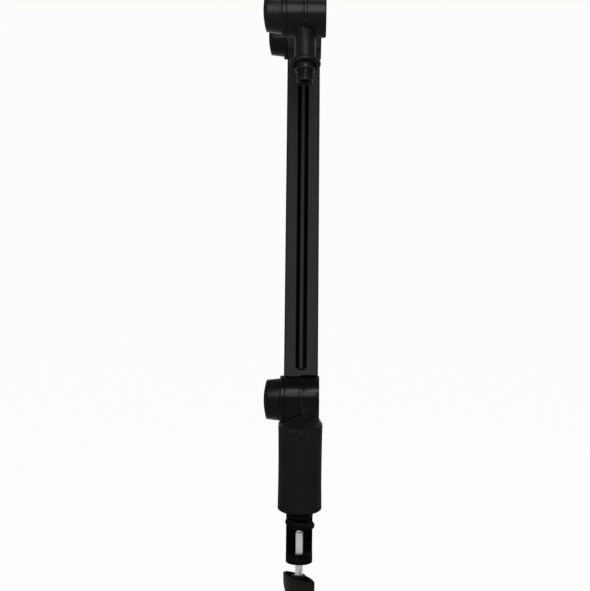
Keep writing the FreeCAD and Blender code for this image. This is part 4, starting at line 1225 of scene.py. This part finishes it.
@dataclass
class Softbox:
    """One soft lamp: where it stands, what it looks at, its size and its power."""

    name: str
    place: Point
    target: Point
    size: Span
    power: float

    def build(self) -> None:
        """Hang the lamp."""
        bpy.ops.object.select_all(action="DESELECT")
        bpy.ops.object.light_add(type="AREA", location=self.place)
        lamp = bpy.context.object
        lamp.name = self.name
        lamp.data.shape = "RECTANGLE"
        lamp.data.size, lamp.data.size_y = self.size
        lamp.data.energy = self.power
        aim = Vector(self.target) - Vector(self.place)
        lamp.rotation_euler = aim.to_track_quat("-Z", "Y").to_euler()


@dataclass
class Studio:
    """The pale floor and backdrop, the lamps and the camera."""

    object_foot: float
    lamps: list[Softbox]
    floor_drop: float = 0.15
    floor_radius: float = 20.0
    rim_curve: float = 1.5
    rim_bow: float = 0.45
    rim_height: float = 6.0
    sweep_steps: int = 96
    sweep_smoothing: float = 60.0
    white: Colour = (1.0, 1.0, 1.0)
    paper_colour: Colour = (0.6, 0.6, 0.6)
    paper_roughness: float = 0.9
    paper_glow: float = 0.965
    sky_strength: float = 0.35
    image_width: int = 590
    focal_pixels: float = 2217.0
    sensor: float = 36.0
    camera_place: Point = (-0.0071, -2.2785, 0.682)
    pitch: float = 11.0
    roll: float = 0.58

    def build(self) -> None:
        """Set up everything around the object."""
        self._sweep()
        self._world()
        for lamp in self.lamps:
            lamp.build()
        self._camera()
        bpy.context.scene.view_settings.view_transform = "Standard"

    def _sweep(self) -> None:
        """Make the paper sweep: a wide floor, below the arm's lowest reach, whose rim curves up all round."""
        foot = self.object_foot - self.floor_drop
        edge = self.floor_radius
        outline = [
            (0.0, foot),
            (edge - 2 * self.rim_curve, foot),
            (edge - self.rim_curve, foot + self.rim_bow),
            (edge - self.rim_bow, foot + self.rim_curve),
            (edge, foot + 2 * self.rim_curve),
            (edge, foot + self.rim_height),
        ]
        sweep = turn("studio_sweep", outline, self.sweep_steps)
        smooth(sweep, self.sweep_smoothing)
        sweep.data.materials.append(self._paper())
        sweep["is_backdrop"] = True

    def _paper(self) -> Material:
        """Make the white paper, which glows for rays that show it but lights the object as plain paper."""
        material = bpy.data.materials.new("studio_paper")
        material.use_nodes = True
        nodes = Nodes(material.node_tree)
        paper = nodes.tree.nodes["Principled BSDF"]
        nodes.fill(paper, {"Base Color": self.paper_colour, "Roughness": self.paper_roughness})
        glow = nodes.add("Emission", {"Color": self.white})
        rays = nodes.add("LightPath", {}).outputs
        seen = nodes.calculate("MAXIMUM", rays["Is Camera Ray"], rays["Is Transmission Ray"])
        shown = nodes.calculate("MAXIMUM", seen, rays["Is Glossy Ray"])
        share = nodes.calculate("MULTIPLY", shown, self.paper_glow)
        layers = {"Fac": share, 1: paper.outputs["BSDF"], 2: glow.outputs["Emission"]}
        blend = nodes.add("MixShader", layers)
        nodes.fill(nodes.tree.nodes["Material Output"], {"Surface": blend.outputs["Shader"]})
        return material

    def _world(self) -> None:
        """Make a plain pale surround that lights the object softly from all sides."""
        world = bpy.data.worlds.new("studio_world")
        bpy.context.scene.world = world
        world.use_nodes = True
        sky = world.node_tree.nodes["Background"]
        Nodes(world.node_tree).fill(sky, {"Color": self.white, "Strength": self.sky_strength})

    def _camera(self) -> None:
        """Set the camera to the photograph's view."""
        bpy.ops.object.camera_add(location=self.camera_place)
        camera = bpy.context.object
        camera.name = "photo_camera"
        camera.data.sensor_fit = "HORIZONTAL"
        camera.data.sensor_width = self.sensor
        camera.data.lens = self.focal_pixels * self.sensor / self.image_width
        down = math.radians(self.pitch)
        forward = Vector((0.0, math.cos(down), -math.sin(down)))
        upright = Vector((0.0, math.sin(down), math.cos(down)))
        lean = math.radians(self.roll)
        right = SIDEWAYS * math.cos(lean) + upright * math.sin(lean)
        up = upright * math.cos(lean) - SIDEWAYS * math.sin(lean)
        camera.rotation_euler = Matrix((right, up, -forward)).transposed().to_euler()
        bpy.context.scene.camera = camera


def studio_lamps() -> list[Softbox]:
    """Return the lamps: a large box above the front, and a small one near the head."""
    return [
        Softbox("overhead_box", (0.3, -1.95, 3.15), (0.0, 0.0, 0.35), (1.6, 0.9), power=104.0),
        Softbox("head_box", (-0.08, -0.62, 0.64), (0.0, -0.21, 0.55), (0.5, 0.22), power=4.6),
    ]


def corners(box: tuple[Vector, Vector]) -> list[list[float]]:
    """Return a box's two corners as plain lists of numbers."""
    return [list(map(float, corner)) for corner in box]


def main() -> None:
    """Load the frame, build and dress each sub-assembly, and set up the studio."""
    logging.basicConfig(level=logging.INFO, format="%(name)s: %(message)s")
    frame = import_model()
    cad_box = corners(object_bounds())
    shop = Workshop(frame, PaintShop())
    Clamp(shop).build()
    Riser(shop).build()
    for name, first, last in zip(ARMS, HINGES, HINGES[1:]):
        Arm(shop, name, first, last, drawn=first == "base").build()
    for hinge in HINGES:
        Hinge(shop, hinge, sprung=hinge != "head").build()
    MicHead(shop).build()
    Studio(object_foot=cad_box[0][2], lamps=studio_lamps()).build()


if __name__ == "__main__":
    main()
